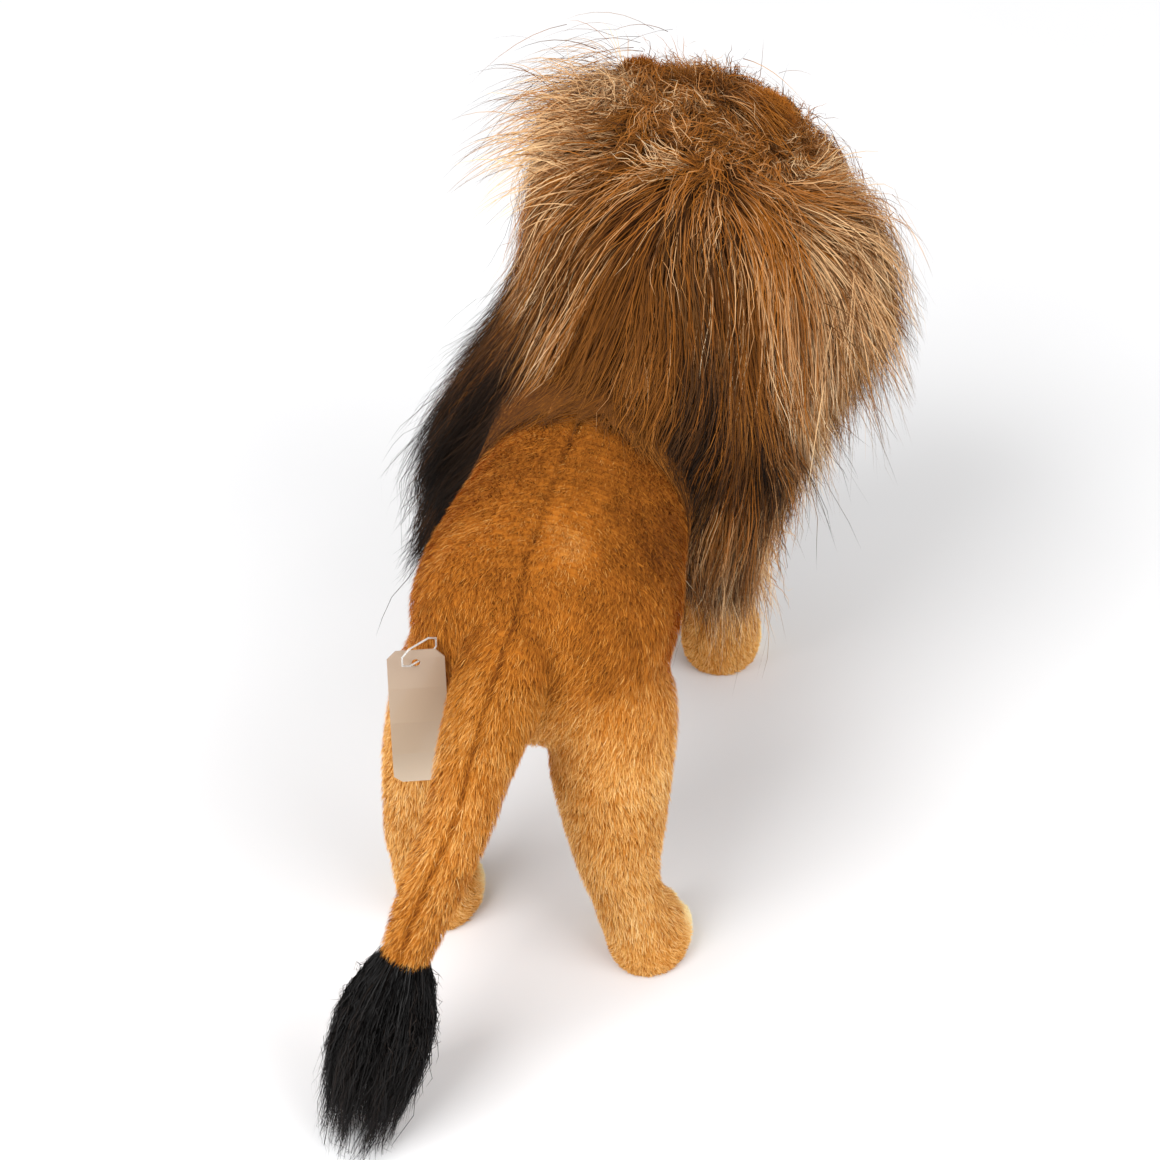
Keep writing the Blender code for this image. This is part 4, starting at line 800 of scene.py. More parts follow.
# The eyes sit in shallow sockets, and the mouth is a stitched line below the nose.
SOCKET_DEPTH, SOCKET_WIDTH = 0.0030, 0.0075
MOUTH_DEPTH, MOUTH_WIDTH = 0.0016, 0.0012
eye_places = [(side * 0.0165, -0.0405, 0.0125) for side in (-1, 1)]
for place in eye_places:
    gap = np.linalg.norm(head_skin - np.array(place) - (0, -0.004, 0), axis=1)
    head_skin[:, 1] += SOCKET_DEPTH * dent(gap, SOCKET_WIDTH)


def mouth_gap(points):
    """How far each place on the muzzle's front lies from the stitched line of the mouth."""
    x, y, z = points.T
    groove = np.where((z < -0.008) & (z > -0.0215), np.abs(x), 1.0)
    bow = 0.0035 * np.cos(ramp(np.abs(x), 0.015) * math.pi)
    curve = np.abs(z + 0.0215 - bow + 0.0035)
    curve = np.where(np.abs(x) < 0.019, curve, 1.0)
    return np.where(y < -0.048, np.minimum(groove, curve), 1.0)


head_out = normals_of(head_skin, head_quads)
head_skin -= head_out * (MOUTH_DEPTH * dent(mouth_gap(head_skin), MOUTH_WIDTH))[:, None]
head_out = normals_of(head_skin, head_quads)


HEAD_TONE, MOUTH_TONE = 0.52, 0.03
MOUTH_MARK_WIDTH = 0.0009


def head_tone(points, dice):
    """Tones of the head's pile: cream muzzle, chin and eye patches, golden brown crown."""
    x, y, z = points.T
    tone = np.full(len(points), HEAD_TONE)
    tone += 0.36 * ramp(-0.048 - y, 0.010) * (z < 0.0)
    tone += 0.34 * ramp(-0.018 - z, 0.010)
    for eye_x, _, eye_z in eye_places:
        below = (x - eye_x) ** 2 / 0.0085**2 + (z - eye_z + 0.010) ** 2 / 0.0045**2
        tone += 0.30 * (np.exp(-below) * (y < -0.02))
        tone -= 0.45 * (dent(np.hypot(x - eye_x, z - eye_z) - 0.0066, 0.0012) * (y < -0.02))
    tone -= 0.34 * ramp(z - 0.012, 0.012) * ramp(y + 0.022, 0.012)
    tone += 0.04 * waves(points, 0.01, 8) + dice.normal(scale=0.05, size=len(points))
    line = dent(mouth_gap(points), MOUTH_MARK_WIDTH)
    return np.clip(tone * (1 - line) + MOUTH_TONE * line, 0.01, 0.99)


dice = np.random.default_rng(FIBRE_SEED + 30)
face_middle = head_skin[head_quads].mean(1)
face_tone = head_tone(face_middle, dice)
head_backing = skin_piece("head_skin_backing", from_head(head_skin), head_quads, face_tone, pile)
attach(head_backing, "head")
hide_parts("head_skin", "muzzle_skin", "head_stuffing")

# No pile under the eyes and the nose. Elsewhere it is combed back from the nose's tip, and it is
# shorter on the muzzle.
HEAD_FIBRES = 22000
keep = np.ones(len(head_quads))
for place in eye_places:
    keep[np.linalg.norm(face_middle - np.array(place), axis=1) < 0.0072] = 0
x, y, z = face_middle.T
keep[(np.hypot(x / 0.0095, (z + 0.0025) / 0.0072) < 1) & (y < -0.06)] = 0
place, way = scatter(head_skin, head_quads, head_out, keep, HEAD_FIBRES, dice)
comb = place - np.array((0, -0.085, 0.0))
comb[:, 2] -= 0.012 * ramp(-0.02 - place[:, 1], 0.02)
comb = unit(comb) @ head_axes
length = 0.0030 + 0.0030 * ramp(place[:, 1] + 0.06, 0.05)
tones = head_tone(place, dice)
head_pile = short_pile("head_fibres", from_head(place), way @ head_axes, comb, length, tones, dice, lie=0.3)
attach(head_pile, "head")

# Ears: cupped and thinly filled, short pile outside and paler inside, sewn upright on the crown.
ear_half = (0.0135, 0.0055, 0.0150)
EAR_CUP_FRONT, EAR_CUP_BACK = 0.0070, 0.0030
EAR_LEAN = math.radians(14)
EAR_FIBRES = 4200
EAR_PILE = 0.0052
for side, ear_name in ((1, "left"), (-1, "right")):
    dice = np.random.default_rng(FIBRE_SEED + 40 + side)
    ear_points, ear_faces = egg((0, 0, 0), ear_half, rings=24)
    ear_points, ear_quads = fused([(ear_points, ear_faces)], pitch=0.0016, rounds=3)
    ear_normals = normals_of(ear_points, ear_quads)
    cup = np.clip(1 - (ear_points[:, 0] / 0.0115) ** 2 - (ear_points[:, 2] / 0.0125) ** 2, 0, 1)
    ear_points[:, 1] += EAR_CUP_FRONT * cup * (ear_normals[:, 1] < 0)
    ear_points[:, 1] += EAR_CUP_BACK * cup * (ear_normals[:, 1] > 0)
    ear_normals = normals_of(ear_points, ear_quads)
    lean = EAR_LEAN * side
    tilt = np.array([
        (math.cos(lean), 0, -math.sin(lean)), (0, 1, 0), (math.sin(lean), 0, math.cos(lean)),
    ])
    foot = np.array((side * 0.029, 0.004, 0.033))
    on_head = ear_points @ tilt + foot
    inner = np.clip(-unit(ear_normals[ear_quads].mean(1))[:, 1], 0, 1)
    inner_tone = 0.42 + 0.25 * inner
    backing = skin_piece(f"ear_{ear_name}_backing", from_head(on_head), ear_quads, inner_tone, pile)
    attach(backing, "head")
    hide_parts(f"ear_{ear_name}")
    even = np.ones(len(ear_quads))
    place, way = scatter(on_head, ear_quads, ear_normals @ tilt, even, EAR_FIBRES, dice)
    comb = unit(place - foot + np.array((0, 0, 0.012))) @ head_axes
    length = np.full(len(place), EAR_PILE)
    tones = 0.15 - 0.03 * side + 0.12 * ramp((place - foot)[:, 2], 0.012)
    tones += 0.15 * np.clip(-way[:, 1], 0, 1)
    tones = np.clip(tones + dice.normal(scale=0.07, size=len(place)), 0.01, 0.99)
    way = way @ head_axes
    piece = short_pile(f"ear_{ear_name}_fibres", from_head(place), way, comb, length, tones, dice, lie=0.5)
    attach(piece, "head")


# Mane

# Long straight acrylic pile, 50 to 110 mm, sewn to the head behind the face and to the neck and
# shoulders, with a cap of short hair between the ears. From a ridge behind the cap it falls back
# and down in overlapping locks, tan and brown above and black at the ends and the lower edge.
mane_reach, mane_depth, mane_back, mane_height, mane_x = 0.106, 0.204, 0.098, 0.313, -0.024
mane_rows = [
    (0.280, 0.33, 0.36, 0.320, 0.40), (0.304, 0.32, 0.68, 0.235, 0.57),
    (0.383, 0.31, 0.82, 0.085, 0.757), (0.479, 0.24, 0.80, 0.0, 0.89),
    (0.575, 0.11, 0.77, 0.009, 0.905), (0.671, -0.06, 0.79, 0.07, 0.849),
    (0.767, -0.10, 0.77, 0.163, 0.753), (0.875, 0.00, 0.67, 0.282, 0.575),
    (0.958, 0.16, 0.40, 0.44, 0.33), (0.990, 0.15, 0.18, 0.52, 0.16),
]
rings = []
for height, shift, width, back, depth in smooth_rows(mane_rows, 40):
    x = mane_x + shift * mane_reach + width * mane_reach * np.cos(TURN)
    y = -mane_back - (back + depth / 2) * mane_depth + depth / 2 * mane_depth * np.sin(TURN)
    rings.append(np.stack((x, y, np.full_like(x, height * mane_height)), axis=1))
mane_points, mane_faces = closed_skin(rings)
mane_surface, mane_quads = fused([(mane_points, mane_faces)], pitch=0.005, rounds=6)
mane_surface_out = normals_of(mane_surface, mane_quads)
mane_centre = np.array((-0.022, -0.195, 0.195))
mane_tree = BVHTree.FromPolygons(mane_surface.tolist(), mane_quads.tolist())

# How far the mane's outer face lies from its middle, all round.
POLAR, AROUND = 49, 97
reach_table = np.zeros((POLAR, AROUND))
for i, polar in enumerate(np.linspace(0, math.pi, POLAR)):
    for j, azimuth in enumerate(np.linspace(0, math.tau, AROUND)):
        wide = math.sin(polar)
        ray = Vector((wide * math.cos(azimuth), wide * math.sin(azimuth), math.cos(polar)))
        place, _, _, far = mane_tree.ray_cast(Vector(mane_centre), ray)
        reach_table[i, j] = far if place else 0.1


def fullness(points):
    """0 at the mane's middle and 1 on its outer face."""
    away = points - mane_centre
    far = np.linalg.norm(away, axis=-1)
    polar = np.arccos(np.clip(away[..., 2] / np.maximum(far, 1e-9), -1, 1)) / math.pi * (POLAR - 1)
    azimuth = np.arctan2(away[..., 1], away[..., 0]) % math.tau / math.tau * (AROUND - 1)
    i = np.clip(polar.astype(int), 0, POLAR - 2)
    j = np.clip(azimuth.astype(int), 0, AROUND - 2)
    u, v = polar - i, azimuth - j
    here = reach_table[i, j] * (1 - u) + reach_table[i + 1, j] * u
    beside = reach_table[i, j + 1] * (1 - u) + reach_table[i + 1, j + 1] * u
    return far / (here * (1 - v) + beside * v)


def mane_outward(points):
    """The way straight out of the mane at each point."""
    step = 0.003
    here = fullness(points)
    slope = np.stack([fullness(points + step * np.eye(3)[k]) - here for k in range(3)], axis=-1)
    return unit(slope)


mane_ridge = np.array((-0.040, -0.180, 0.291))
crown_middle = np.array((-0.030, -0.222, 0.306))
CAP_RADIUS = 0.050


def crowned(points):
    """1 on the short dense cap between the ears and 0 off it."""
    away = (points - crown_middle) / (1.25, 1.0, 1.0)
    return ramp(CAP_RADIUS - np.linalg.norm(away, axis=-1), 0.012)


def mane_flow(points, outward):
    """The way the locks fall: away from the ridge behind the cap, then down, and out at the left.
    The cap's short hair lies back over the ridge and runs every way."""
    away = points - mane_ridge
    away[:, 0] -= 0.8 * np.clip(away[:, 0], -0.024, 0.024)
    x, _, z = points.T[:, :, None]
    near_top = ramp(z - 0.215, 0.08)
    flow = unit(away) * (0.5 + 0.6 * near_top) + np.array((0, 0.10, -0.75)) * (1.1 - 0.8 * near_top)
    low_left = ramp(x - 0.01, 0.05) * (1 - near_top)
    high_left = ramp(x + 0.015, 0.035) * ramp(z - 0.255, 0.03)
    flow += low_left * np.array((0.22, 0.22, 0.0)) + high_left * np.array((0.7, 0.0, 0.25))
    flow += 0.42 * np.stack([waves(points, 0.040, 51 + axis) for axis in range(3)], axis=1)
    cap = crowned(points)[:, None]
    flow = flow * (1 - 0.7 * cap) + np.array((0.25, 0.45, 0.0)) * cap
    flow += 1.1 * cap * np.stack([waves(points, 0.010, 61 + axis) for axis in range(3)], axis=1)
    along = ramp(outward[:, 2] + 0.55, 0.35)[:, None]
    return unit(flow - along * (flow * outward).sum(1, keepdims=True) * outward)


FACE_CENTRE = np.array((0.0, -0.004))


def keep_face_free(points):
    """Moves hair out of the round opening for the face, in the head's axes."""
    local = to_head(points)
    across = local[:, [0, 2]] - FACE_CENTRE
    ratio = np.hypot(across[:, 0] / 0.046, across[:, 1] / 0.045)
    inside = (local[:, 1] < -0.010) & (ratio < 1)
    across[inside] /= np.maximum(ratio[inside], 0.2)[:, None]
    local[inside, 0] = across[inside, 0] + FACE_CENTRE[0]
    local[inside, 2] = across[inside, 1] + FACE_CENTRE[1]
    return from_head(local)


def clear_of_skin(points, margin):
    """Moves hair that has gone into the body's skin out of it."""
    moved = points.copy()
    for number, point in enumerate(points):
        place, way, _, _ = skin_tree.find_nearest(Vector(point), 0.03)
        if place is not None and (Vector(point) - place).dot(way) < margin:
            moved[number] = np.array(place) + np.array(way) * margin
    return moved


def grow(roots, lengths, start, end, lift, rows):
    """Hair lines from their roots: each follows the flow while it rises from start to end in the
    mane's fullness."""
    lines = [roots]
    place = roots.copy()
    way = None
    for row in range(1, rows):
        outward = mane_outward(place)
        flow = mane_flow(place, outward)
        rise = lift * (1 - row / rows)
        step = unit(flow + outward * rise[:, None])
        if way is not None:
            step = unit(step + way * 0.9)
        way = step
        place = place + step * (lengths / (rows - 1))[:, None]
        wanted = start + (end - start) * (row / (rows - 1)) ** 0.8
        now = fullness(place)
        hang = ramp(outward[:, 2] + 0.30, 0.30)
        scale = 1 + (np.maximum(wanted, 0.3) / np.maximum(now, 0.05) - 1) * 0.6 * hang
        place = mane_centre + (place - mane_centre) * np.clip(scale, 0.85, 1.2)[:, None]
        place = keep_face_free(place)
        place[:, 2] = np.maximum(place[:, 2], 0.02)
        lines.append(place)
    return np.stack(lines, axis=1)


# Mane pile: dull brown fibre streaked with tan. The map's width holds four runs, from hair with no
# black at the end to hair that is black for most of its length, and each goes from brown to tan.
RUNS = 4
mane_pile = fibre_material(
    "Long mane pile", [
        [
            (0.0, "3A2110"), (0.24, "7A4A20"), (0.26, "3A2110"), (0.49, "6E431E"),
            (0.51, "2C1A0E"), (0.74, "55361C"), (0.76, "1A110B"), (1.0, "382416"),
        ], [
            (0.0, "5C3613"), (0.12, "9C5C1E"), (0.24, "E2BC8C"), (0.26, "583315"),
            (0.37, "90541C"), (0.49, "D4A878"), (0.51, "402713"), (0.74, "805325"),
            (0.76, "1E140D"), (1.0, "4A321E"),
        ], [
            (0.0, "70441B"), (0.12, "B2712D"), (0.24, "F0D8B2"), (0.26, "2A1A11"),
            (0.49, "7A5636"), (0.51, "15100D"), (0.74, "32221A"), (0.76, "0C0A09"),
            (1.0, "241A12"),
        ],
    ], blend_at=[(0.05, 0.30), (0.58, 0.92)], roughness=0.75, shine=0.08,
)

# Roots stand thickest on the cap and the neck, thin below the chest and not at all in the face.
dice = np.random.default_rng(FIBRE_SEED + 60)
surface_middle = mane_surface[mane_quads].mean(1)
x, y, z = to_head(surface_middle).T
in_face = (y < -0.02) & (np.hypot(x / 0.040, (z + 0.004) / 0.040) < 1)
root_weight = np.where(in_face, 0.0, 1.0)
root_weight *= np.where(surface_middle[:, 2] > 0.10, 1.0, 0.3)
root_weight *= 1 + 0.8 * ramp(surface_middle[:, 1] + 0.20, 0.08)
root_weight *= 1 + 2.6 * crowned(surface_middle)


# Hair on the cap is short, and off it this much longer. The hem rises from its low to its high
# place towards the back, and to these heights at these places to the right.
CAP_HAIR, LONGER_OFF_CAP = 0.019, 0.061
HEM_LOW, HEM_HIGH, HEM_RISE, HEM_MIDDLE_Y = 0.085, 0.145, 1.09, -0.10
HEM_PLACES = (0.062, 0.078, 0.083, 0.094, 0.112)
HEM_HEIGHTS = (0.085, 0.118, 0.152, 0.186, 0.212)
SHORTEST_HAIR = 0.018
WIDEST_FULLNESS = 1.13


def mane_hair(count, dice):
    """Roots, lengths, the fullness from which and to which each hair rises, and how much it stands
    off. The hem is the height that a hair may hang to."""
    place, _ = scatter(mane_surface, mane_quads, mane_surface_out, root_weight, count, dice)
    x, y, z = place.T
    long = 1 - crowned(place)
    lengths = (CAP_HAIR + LONGER_OFF_CAP * long) * dice.uniform(0.65, 1.2, count)
    lengths = lengths * (1 + 0.20 * ramp(0.20 - z, 0.08))
    hem = np.clip(HEM_HIGH + HEM_RISE * (y - HEM_MIDDLE_Y), HEM_LOW, HEM_HIGH)
    hem = np.maximum(hem, np.interp(-x, HEM_PLACES, HEM_HEIGHTS))
    hem -= dice.exponential(0.010, count)
    lengths = np.minimum(lengths, np.maximum(SHORTEST_HAIR, (z - hem) * 1.1))
    start = 0.84 + 0.07 * (1 - long) + dice.uniform(-0.05, 0.08, count)
    stray = dice.exponential(0.045, count) * (1 - 0.4 * crowned(place))
    end = np.minimum(0.935 + 0.06 * waves(place, 0.016, 71) + stray, WIDEST_FULLNESS)
    roots = mane_centre + (place - mane_centre) * start[:, None]
    lift = (0.35 + dice.uniform(-0.1, 0.25, count)) * (0.45 + 0.55 * long)
    return roots, lengths, start, end, lift


def kept_in(lines, low, high):
    """Shortens the hairs, each about its root, that would pass the mane's widest reach."""
    run = lines - lines[:, :1]
    room = np.where(run > 0, high - lines[:, :1], lines[:, :1] - low)
    share = (room / np.maximum(np.abs(run), 1e-6)).min(axis=(1, 2))
    return lines[:, :1] + run * np.clip(share, 0.1, 1)[:, None, None]


# Guide hairs: one for the middle of each lock, with the lock's tone and how black its end is. The
# locks are dark over the neck, tan on both cheeks and darker on the cap.
GUIDES, HAIRS = 900, 56000
WILD_SHARE = 0.07
guide_roots, lengths, start, end, lift = mane_hair(GUIDES, dice)
guides = grow(guide_roots, lengths, start, end, lift, HAIR_ROWS)
x, y, z = guide_roots.T
guide_tone = 0.52 + 0.24 * waves(guide_roots, 0.022, 31) + dice.normal(scale=0.20, size=GUIDES)
guide_tone -= 0.38 * ramp(y + 0.150, 0.015) * (z > 0.19)
guide_tone -= 0.30 * dent(x + 0.03, 0.030) * ramp(y + 0.205, 0.03) * (z > 0.2)
guide_tone += 0.22 * ramp(-0.045 - x, 0.02) * ramp(0.19 - z, 0.02)
guide_tone += 0.50 * ramp(-0.060 - x, 0.02) * (z > 0.17)
guide_tone += 0.50 * ramp(x + 0.002, 0.02) * ramp(z - 0.225, 0.025)
guide_tone -= 0.16 * crowned(guide_roots)
guide_tone = np.clip(guide_tone, 0, 1)
guide_dark = dice.normal(scale=0.34, size=GUIDES) + 0.30 * waves(guide_roots, 0.03, 33)
black_locks = [
    ((-0.046, -0.112, 0.190), 0.011), ((-0.076, -0.136, 0.165), 0.007), ((0.052, -0.124, 0.165), 0.006),
]
for lock, width in black_locks:
    gap = (guides[:, 2:] - np.array(lock)) / (width, 0.03, 0.032)
    guide_dark += 2.6 * np.exp(-(gap**2).sum(-1)).max(1)
nearest = KDTree(GUIDES)
for number, root in enumerate(guide_roots):
    nearest.insert(root, number)
nearest.balance()

# Hairs: each follows its own way and, further along, the guide of its lock, with a sway that the
# lock shares. A few wild ones stand off.
roots, lengths, start, end, lift = mane_hair(HAIRS, dice)
wild = dice.random(HAIRS) < WILD_SHARE
end = np.where(wild, np.minimum(end + dice.uniform(0.02, 0.10, HAIRS), 1.12), end)
lift = np.where(wild, lift + 0.3, lift)
lines = grow(roots, lengths, start, end, lift, HAIR_ROWS)
owner = np.array([nearest.find(root)[1] for root in roots])
pull = np.where(wild, 0.0, dice.uniform(0.20, 0.85, HAIRS))[:, None, None]
t = np.linspace(0, 1, HAIR_ROWS)[None, :, None]
shape = guides[owner] + (roots - guide_roots[owner])[:, None] * (1 - 0.55 * t)
lines = lines * (1 - pull * t**0.7) + shape * pull * t**0.7
LOCK_SWAY, HAIR_RIPPLE = 0.0035, 0.0010
TIP_SCATTER, WILD_SCATTER, HAIR_JITTER = 0.0030, 0.005, 0.0008
sway = np.sin(dice.uniform(0, math.tau, GUIDES)[owner][:, None, None] + 5.0 * t) * t * LOCK_SWAY
lines += sway * unit(dice.normal(size=(GUIDES, 3)))[owner][:, None]
ripple = np.sin(dice.uniform(0, math.tau, (HAIRS, 1, 1)) + 9.0 * t) * t * HAIR_RIPPLE
lines += ripple * unit(dice.normal(size=(HAIRS, 1, 3)))
lines += dice.normal(scale=TIP_SCATTER, size=(HAIRS, 1, 3)) * t
lines += np.where(wild, WILD_SCATTER, 0.0)[:, None, None] * dice.normal(size=(HAIRS, 1, 3)) * t**2
lines += dice.normal(scale=HAIR_JITTER, size=lines.shape) * np.sqrt(t)

# Loose wisps stand off the crown at the left and off the cheek at the right, and short crown hair
# lies over the back of the right ear. A group has its middle, spread, direction, length and count.
over_ear = from_head(np.array([(-0.020, 0.0135, 0.040)]))[0]
wisp_droop = (0, 0, -0.50)
for centre, spread, way, reach, number in (
    ((0.018, -0.216, 0.294), (0.009, 0.024, 0.008), (0.90, 0.10, 0.16), 0.042, 800),
    ((-0.098, -0.185, 0.245), (0.006, 0.022, 0.014), (-0.40, 0.15, -0.70), 0.040, 600),
    (over_ear, (0.006, 0.002, 0.007), np.array((-1.0, -0.05, 0.15)) @ head_axes, 0.024, 500),
):
    starts = np.array(centre) + np.array(spread) * dice.normal(size=(number, 3))
    aims = unit(np.array(way) + 0.28 * dice.normal(size=(number, 3)))
    reaches = reach * dice.uniform(0.6, 1.15, (number, 1, 1))
    wisps = starts[:, None] + (aims[:, None] * t + np.array(wisp_droop) * t**2) * reaches
    roots, lines = np.concatenate((roots, starts)), np.concatenate((lines, wisps))
hair_count = len(roots)
owner = np.array([nearest.find(root)[1] for root in roots])
lines = clear_of_skin(lines.reshape(-1, 3), margin=0.003).reshape(lines.shape)
lines = keep_face_free(lines.reshape(-1, 3)).reshape(lines.shape)
mane_low, mane_high = np.array((-0.130, -0.330, 0.008)), np.array((0.106, 0.0, 0.330))
lines = kept_in(lines, mane_low, mane_high)

# How black each hair's end is: more towards the lower edge, most of all at the left, and round the
# outline. How pale the rest is: as its lock, but darker low at the left.
x, _, z = lines[:, -1].T
left_side = ramp(x - 0.01, 0.04)
darkness = 0.20 + 0.24 * ramp(0.200 - z, 0.09)
darkness += 0.52 * left_side * ramp(0.230 - z, 0.06)
darkness -= 0.18 * ramp(-0.060 - x, 0.02) * ramp(z - 0.190, 0.02)
darkness += 0.55 * guide_dark[owner] + dice.normal(scale=0.22, size=hair_count)
darkness += 0.75 * ramp(np.abs(x + 0.020) - 0.075, 0.014)
group = np.clip((darkness * 2.0).astype(int), 0, RUNS - 1)
paleness = guide_tone[owner] + dice.normal(scale=0.14, size=hair_count)
paleness -= 0.50 * ramp(x + 0.015, 0.02) * ramp(0.228 - z, 0.025)
paleness = np.clip(paleness, 0, 1)
tones = (group + 0.06 + 0.86 * paleness) / RUNS
outward = mane_outward(lines.reshape(-1, 3)).reshape(lines.shape)
# Like the pile's, these ribbons are wider than a real hair, so that they show.
MANE_HALF_WIDTHS = (0.00018, 0.00016, 0.00006)
half = np.interp(t, (0, 0.5, 1), MANE_HALF_WIDTHS)
sides = unit(np.cross(np.gradient(lines, axis=1), outward))
sides = unit(sides + outward * dice.normal(scale=0.5, size=(hair_count, 1, 1))) * half

x, y, z = roots.T
on_top, low, left = z > 0.262, z < 0.200, x > mane_x
front = (y < -0.235) & ~on_top
beside = ~on_top & ~front
mane_parts = {
    "crown": (on_top, "mane_tan"),
    "cheek_left": (beside & ~low & left, "mane_tan"),
    "cheek_right": (beside & ~low & ~left, "mane_tan"),
    "shoulder_left": (beside & low & left, "mane_dark"),
    "shoulder_right": (beside & low & ~left, "mane_dark"),
    "chest": (front, "mane_dark"),
}
for name, (chosen, slot) in mane_parts.items():
    piece = ribbons(f"mane_{name}_hair", lines[chosen], sides[chosen], tones[chosen], mane_pile)
    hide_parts("mane_bib" if name == "chest" else "mane_" + name)
    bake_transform(piece)

# Shorter hair sewn in round the face, which fans out over the mane's front edge. It is short above
# the brow, and below the chin it hangs forwards.
RUFF_HAIRS = 9000
RUFF_INNER, RUFF_OUTER = 0.034, 0.046
RUFF_SHORT, RUFF_LONG = 0.018, 0.038
count = RUFF_HAIRS
around = dice.uniform(0, math.tau, count)
ring = np.stack((np.cos(around), np.zeros(count), np.sin(around)), axis=1)
starts = ring * dice.uniform(RUFF_INNER, RUFF_OUTER, (count, 1)) + np.array((0, -0.004, -0.004))
below = np.clip(-ring[:, 2:] * 1.5, 0, 1)
above = np.clip(ring[:, 2:] * 1.3, 0, 1)
starts[:, 1] -= dice.uniform(-0.004, 0.012, count) + 0.006 * below[:, 0]
ways = ring + np.array((0, -0.10, -0.30)) + np.array((0, -0.50, 0)) * below
ways = unit(ways + 0.22 * dice.normal(size=(count, 3)))
reaches = dice.uniform(RUFF_SHORT, RUFF_LONG, (count, 1, 1))
reaches = reaches * (1 + 0.3 * below[:, None] - 0.55 * above[:, None])
sweep = np.array((0, 0.30, -0.30)) - np.array((0, 0.25, 0)) * below
ruff = starts[:, None] + (ways[:, None] * t + sweep[:, None] * t**2) * reaches
ruff += dice.normal(scale=HAIR_JITTER, size=ruff.shape) * t
ruff = from_head(ruff.reshape(-1, 3)).reshape(ruff.shape)
group = np.clip((0.5 + 0.5 * dice.normal(size=count) - 0.6 * ring[:, 2]).astype(int), 0, RUNS - 2)
tones = (group + 0.06 + 0.86 * np.clip(dice.normal(0.5, 0.2, count), 0, 1)) / RUNS
sides = unit(np.cross(np.gradient(ruff, axis=1), dice.normal(size=(count, 1, 3)))) * half
ruff_piece = ribbons("face_ruff_hair", ruff, sides, tones, mane_pile)
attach(ruff_piece, "head")

# The pile's dense lower part, which shows between the locks as dark fibre: partly the fibre's own brown,
# partly painted shade for the depth between the locks.
CORE_SHARE = 0.86
CORE_FACE_RADIUS, CORE_FACE_FRONT = 0.05, -0.016
MANE_CORE_SHADE_TONE = 0.56
core_points = keep_face_free(mane_centre + (mane_surface - mane_centre) * CORE_SHARE)
local = to_head(core_points)
by_face = np.hypot(local[:, 0], local[:, 2]) < CORE_FACE_RADIUS
local[:, 1] = np.where(by_face, np.maximum(local[:, 1], CORE_FACE_FRONT), local[:, 1])
core_tones = np.full(len(mane_quads), MANE_CORE_SHADE_TONE)
mane_core = skin_piece("mane_core", from_head(local), mane_quads, core_tones, mane_pile)
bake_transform(mane_core)


# Face trim

# Eyes, moulded plastic domes with their shanks pushed through the skin, and a moulded nose pad with
# a flocked surface.


def dome_material(name, dark, light):
    """Glossy moulded plastic with a cloudy paint under its clear surface, in clouds of 1 mm."""
    gloss = {"Roughness": 0.2, "IOR": 1.49, "Coat Weight": 0.4, "Coat Roughness": 0.05}
    return mottled(name, 900.0, (dark, light), gloss, detail=4.0)


# Eye paints: a round black pupil, an amber iris and a brown rim under one clear coat.
eye_paints = [
    dome_material("Black pupil paint", "050505", "0C0A09"),
    dome_material("Amber eye paint", "7A4308", "D08A1E"),
    dome_material("Brown eye rim", "1E110A", "33200F"),
]
EYE_RADIUS = 0.0058
EYE_BULGE = 0.10
EYE_STEPS = 40
PUPIL_EDGE, IRIS_EDGE = 0.62, 1.05
turn = np.linspace(0, math.tau, EYE_STEPS, endpoint=False)
bands = np.linspace(1.75, 0.0, 19)[:-1]
for name, place in zip(("eye_right", "eye_left"), eye_places):
    outwards = unit(np.array((place[0] * 14, -1.0, 0.10)))
    side = unit(np.cross((0, 0, 1), outwards))
    up = np.cross(outwards, side)
    circle = np.cos(turn)[:, None] * side + np.sin(turn)[:, None] * up
    points, faces, paints = [], [], []
    for band in bands:
        bulge = EYE_RADIUS * (1 + EYE_BULGE * max(0.0, math.cos(band)) ** 4)
        points += list(np.array(place) + bulge * (math.cos(band) * outwards + math.sin(band) * circle))
    points.append(np.array(place) + EYE_RADIUS * (1 + EYE_BULGE) * outwards)
    for ring, band in enumerate(bands):
        near, far = ring * EYE_STEPS, (ring + 1) * EYE_STEPS
        for step in range(EYE_STEPS):
            beside = (step + 1) % EYE_STEPS
            past = (far + beside, far + step) if ring < len(bands) - 1 else (len(points) - 1,)
            faces.append((near + step, near + beside) + past)
            paints.append(0 if band < PUPIL_EDGE else 1 if band < IRIS_EDGE else 2)
    mesh = bpy.data.meshes.new(name + "_dome")
    mesh.from_pydata((from_head(points) + lion_at).tolist(), [], faces)
    for paint in eye_paints:
        mesh.materials.append(paint)
    mesh.polygons.foreach_set("material_index", paints)
    mesh.polygons.foreach_set("use_smooth", [True] * len(faces))
    dome = link(name + "_dome", mesh)
    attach(dome, "head")
    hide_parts(name)

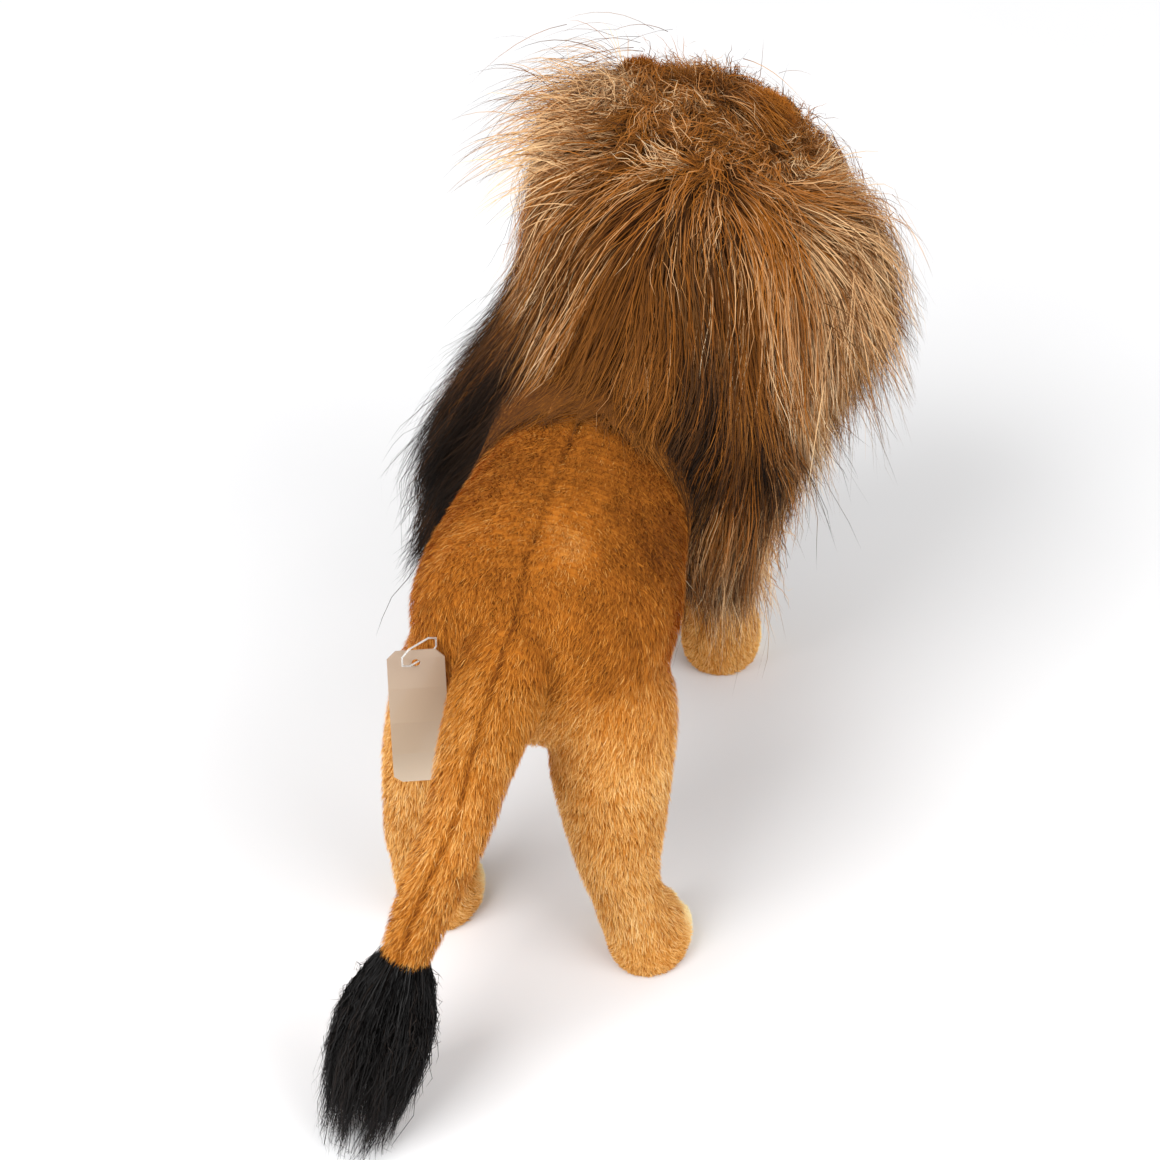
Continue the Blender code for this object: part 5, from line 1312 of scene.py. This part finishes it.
# Flocked nose: dull dark brown with a grain of about 0.4 mm. The pad is broad above and narrow
# below, with two nostril dents.
nose_skin = mottled(
    "Brown flocked nose", 2600.0, ("3A1F17", "5C382B"), {"Roughness": 0.6}, detail=3.0, grain=(0.4, 0.0003)
)
nose_half = (0.0100, 0.0060, 0.0072)
nose_place = (0, -0.0705, -0.0020)
NOSTRIL_DEPTH, NOSTRIL_WIDTH = 0.0019, 0.0016
nose_points, nose_faces = egg((0, 0, 0), nose_half, rings=22)
nose_points[:, 0] *= 1 - 0.45 * ramp(-nose_points[:, 2], nose_half[2])
nose_points[:, 0] *= 1 - 0.15 * ramp(nose_points[:, 2], nose_half[2])
nose_points, nose_quads = fused([(nose_points, nose_faces)], pitch=0.0007, rounds=3)
nose_points = nose_points + np.array(nose_place)
nose_out = normals_of(nose_points, nose_quads)
for side in (-1, 1):
    gap = np.hypot(nose_points[:, 0] - side * 0.0048, (nose_points[:, 2] + 0.0030) * 1.4)
    nose_points -= nose_out * (NOSTRIL_DEPTH * dent(gap, NOSTRIL_WIDTH))[:, None]
mesh = bpy.data.meshes.new("nose_pad")
mesh.from_pydata((from_head(nose_points) + lion_at).tolist(), [], nose_quads.tolist())
mesh.polygons.foreach_set("use_smooth", [True] * len(nose_quads))
mesh.materials.append(nose_skin)
nose = link("nose_pad", mesh)
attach(nose, "head")
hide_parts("nose")


# Swing tag

# A bare card hung by a plastic loop through the hole at its top. Both are hard CAD pieces, kept as
# they are with these finishes.

# Satin card: warm grey, paler towards its lower end. The paper's grain is drawn about 1.4 mm wide,
# coarser than the real one, so that it shows.
tag_skin, tree, output = new_material("Satin tag card")
place = add_node(tree, "TexCoord")
split = add_node(tree, "SeparateXYZ", {0: place.outputs["Object"]})
heights = {"Value": split.outputs["Z"], "From Min": 0.105, "From Max": 0.175}
run = add_node(tree, "MapRange", heights).outputs["Result"]
tint = add_node(tree, "ValToRGB", {"Fac": run}, [(0.0, "DCCAB2"), (0.35, "BBA78F"), (1.0, "A58F7A")])
sockets = {"Vector": place.outputs["Object"], "Scale": 700.0, "Detail": 3.0}
fine = add_node(tree, "TexNoise", sockets).outputs["Fac"]
bump = add_node(tree, "Bump", {"Height": fine, "Strength": 0.08, "Distance": 0.0002})
sockets = {"Base Color": tint.outputs["Color"], "Normal": bump.outputs["Normal"]}
satin = {"Roughness": 0.35, "Coat Weight": 0.3}
surface = add_node(tree, "BsdfPrincipled", {**sockets, **satin})
tree.links.new(surface.outputs[0], output.inputs["Surface"])

# Loop: clear moulded plastic, a little milky in clouds of 2.5 mm.
milky = {"Roughness": 0.2, "IOR": 1.5, "Transmission Weight": 0.5}
loop_skin = mottled("Clear loop plastic", 400.0, ("E4E4E0", "F4F4F2"), milky)


# Frame inside

# Steel wire bent to the pose, and the plastic washers that hold the eyes. They are the CAD's own
# pieces, and the fill and the skins hide them.

# Wire: bright steel with drawing marks about 0.8 mm apart.
drawn = {"Metallic": 1.0, "Roughness": 0.32}
steel = mottled("Drawn steel wire", 1200.0, ("8C8F92", "B4B7BA"), drawn)

finishes = {"tag_card": tag_skin, "tag_loop": loop_skin}
for name, node in frame["nodes"].items():
    if node.hide_render:
        continue
    washer_or_wire = eye_paints[0] if name.endswith("_washer") else steel
    node.data.materials.clear()
    node.data.materials.append(finishes.get(name, washer_or_wire))
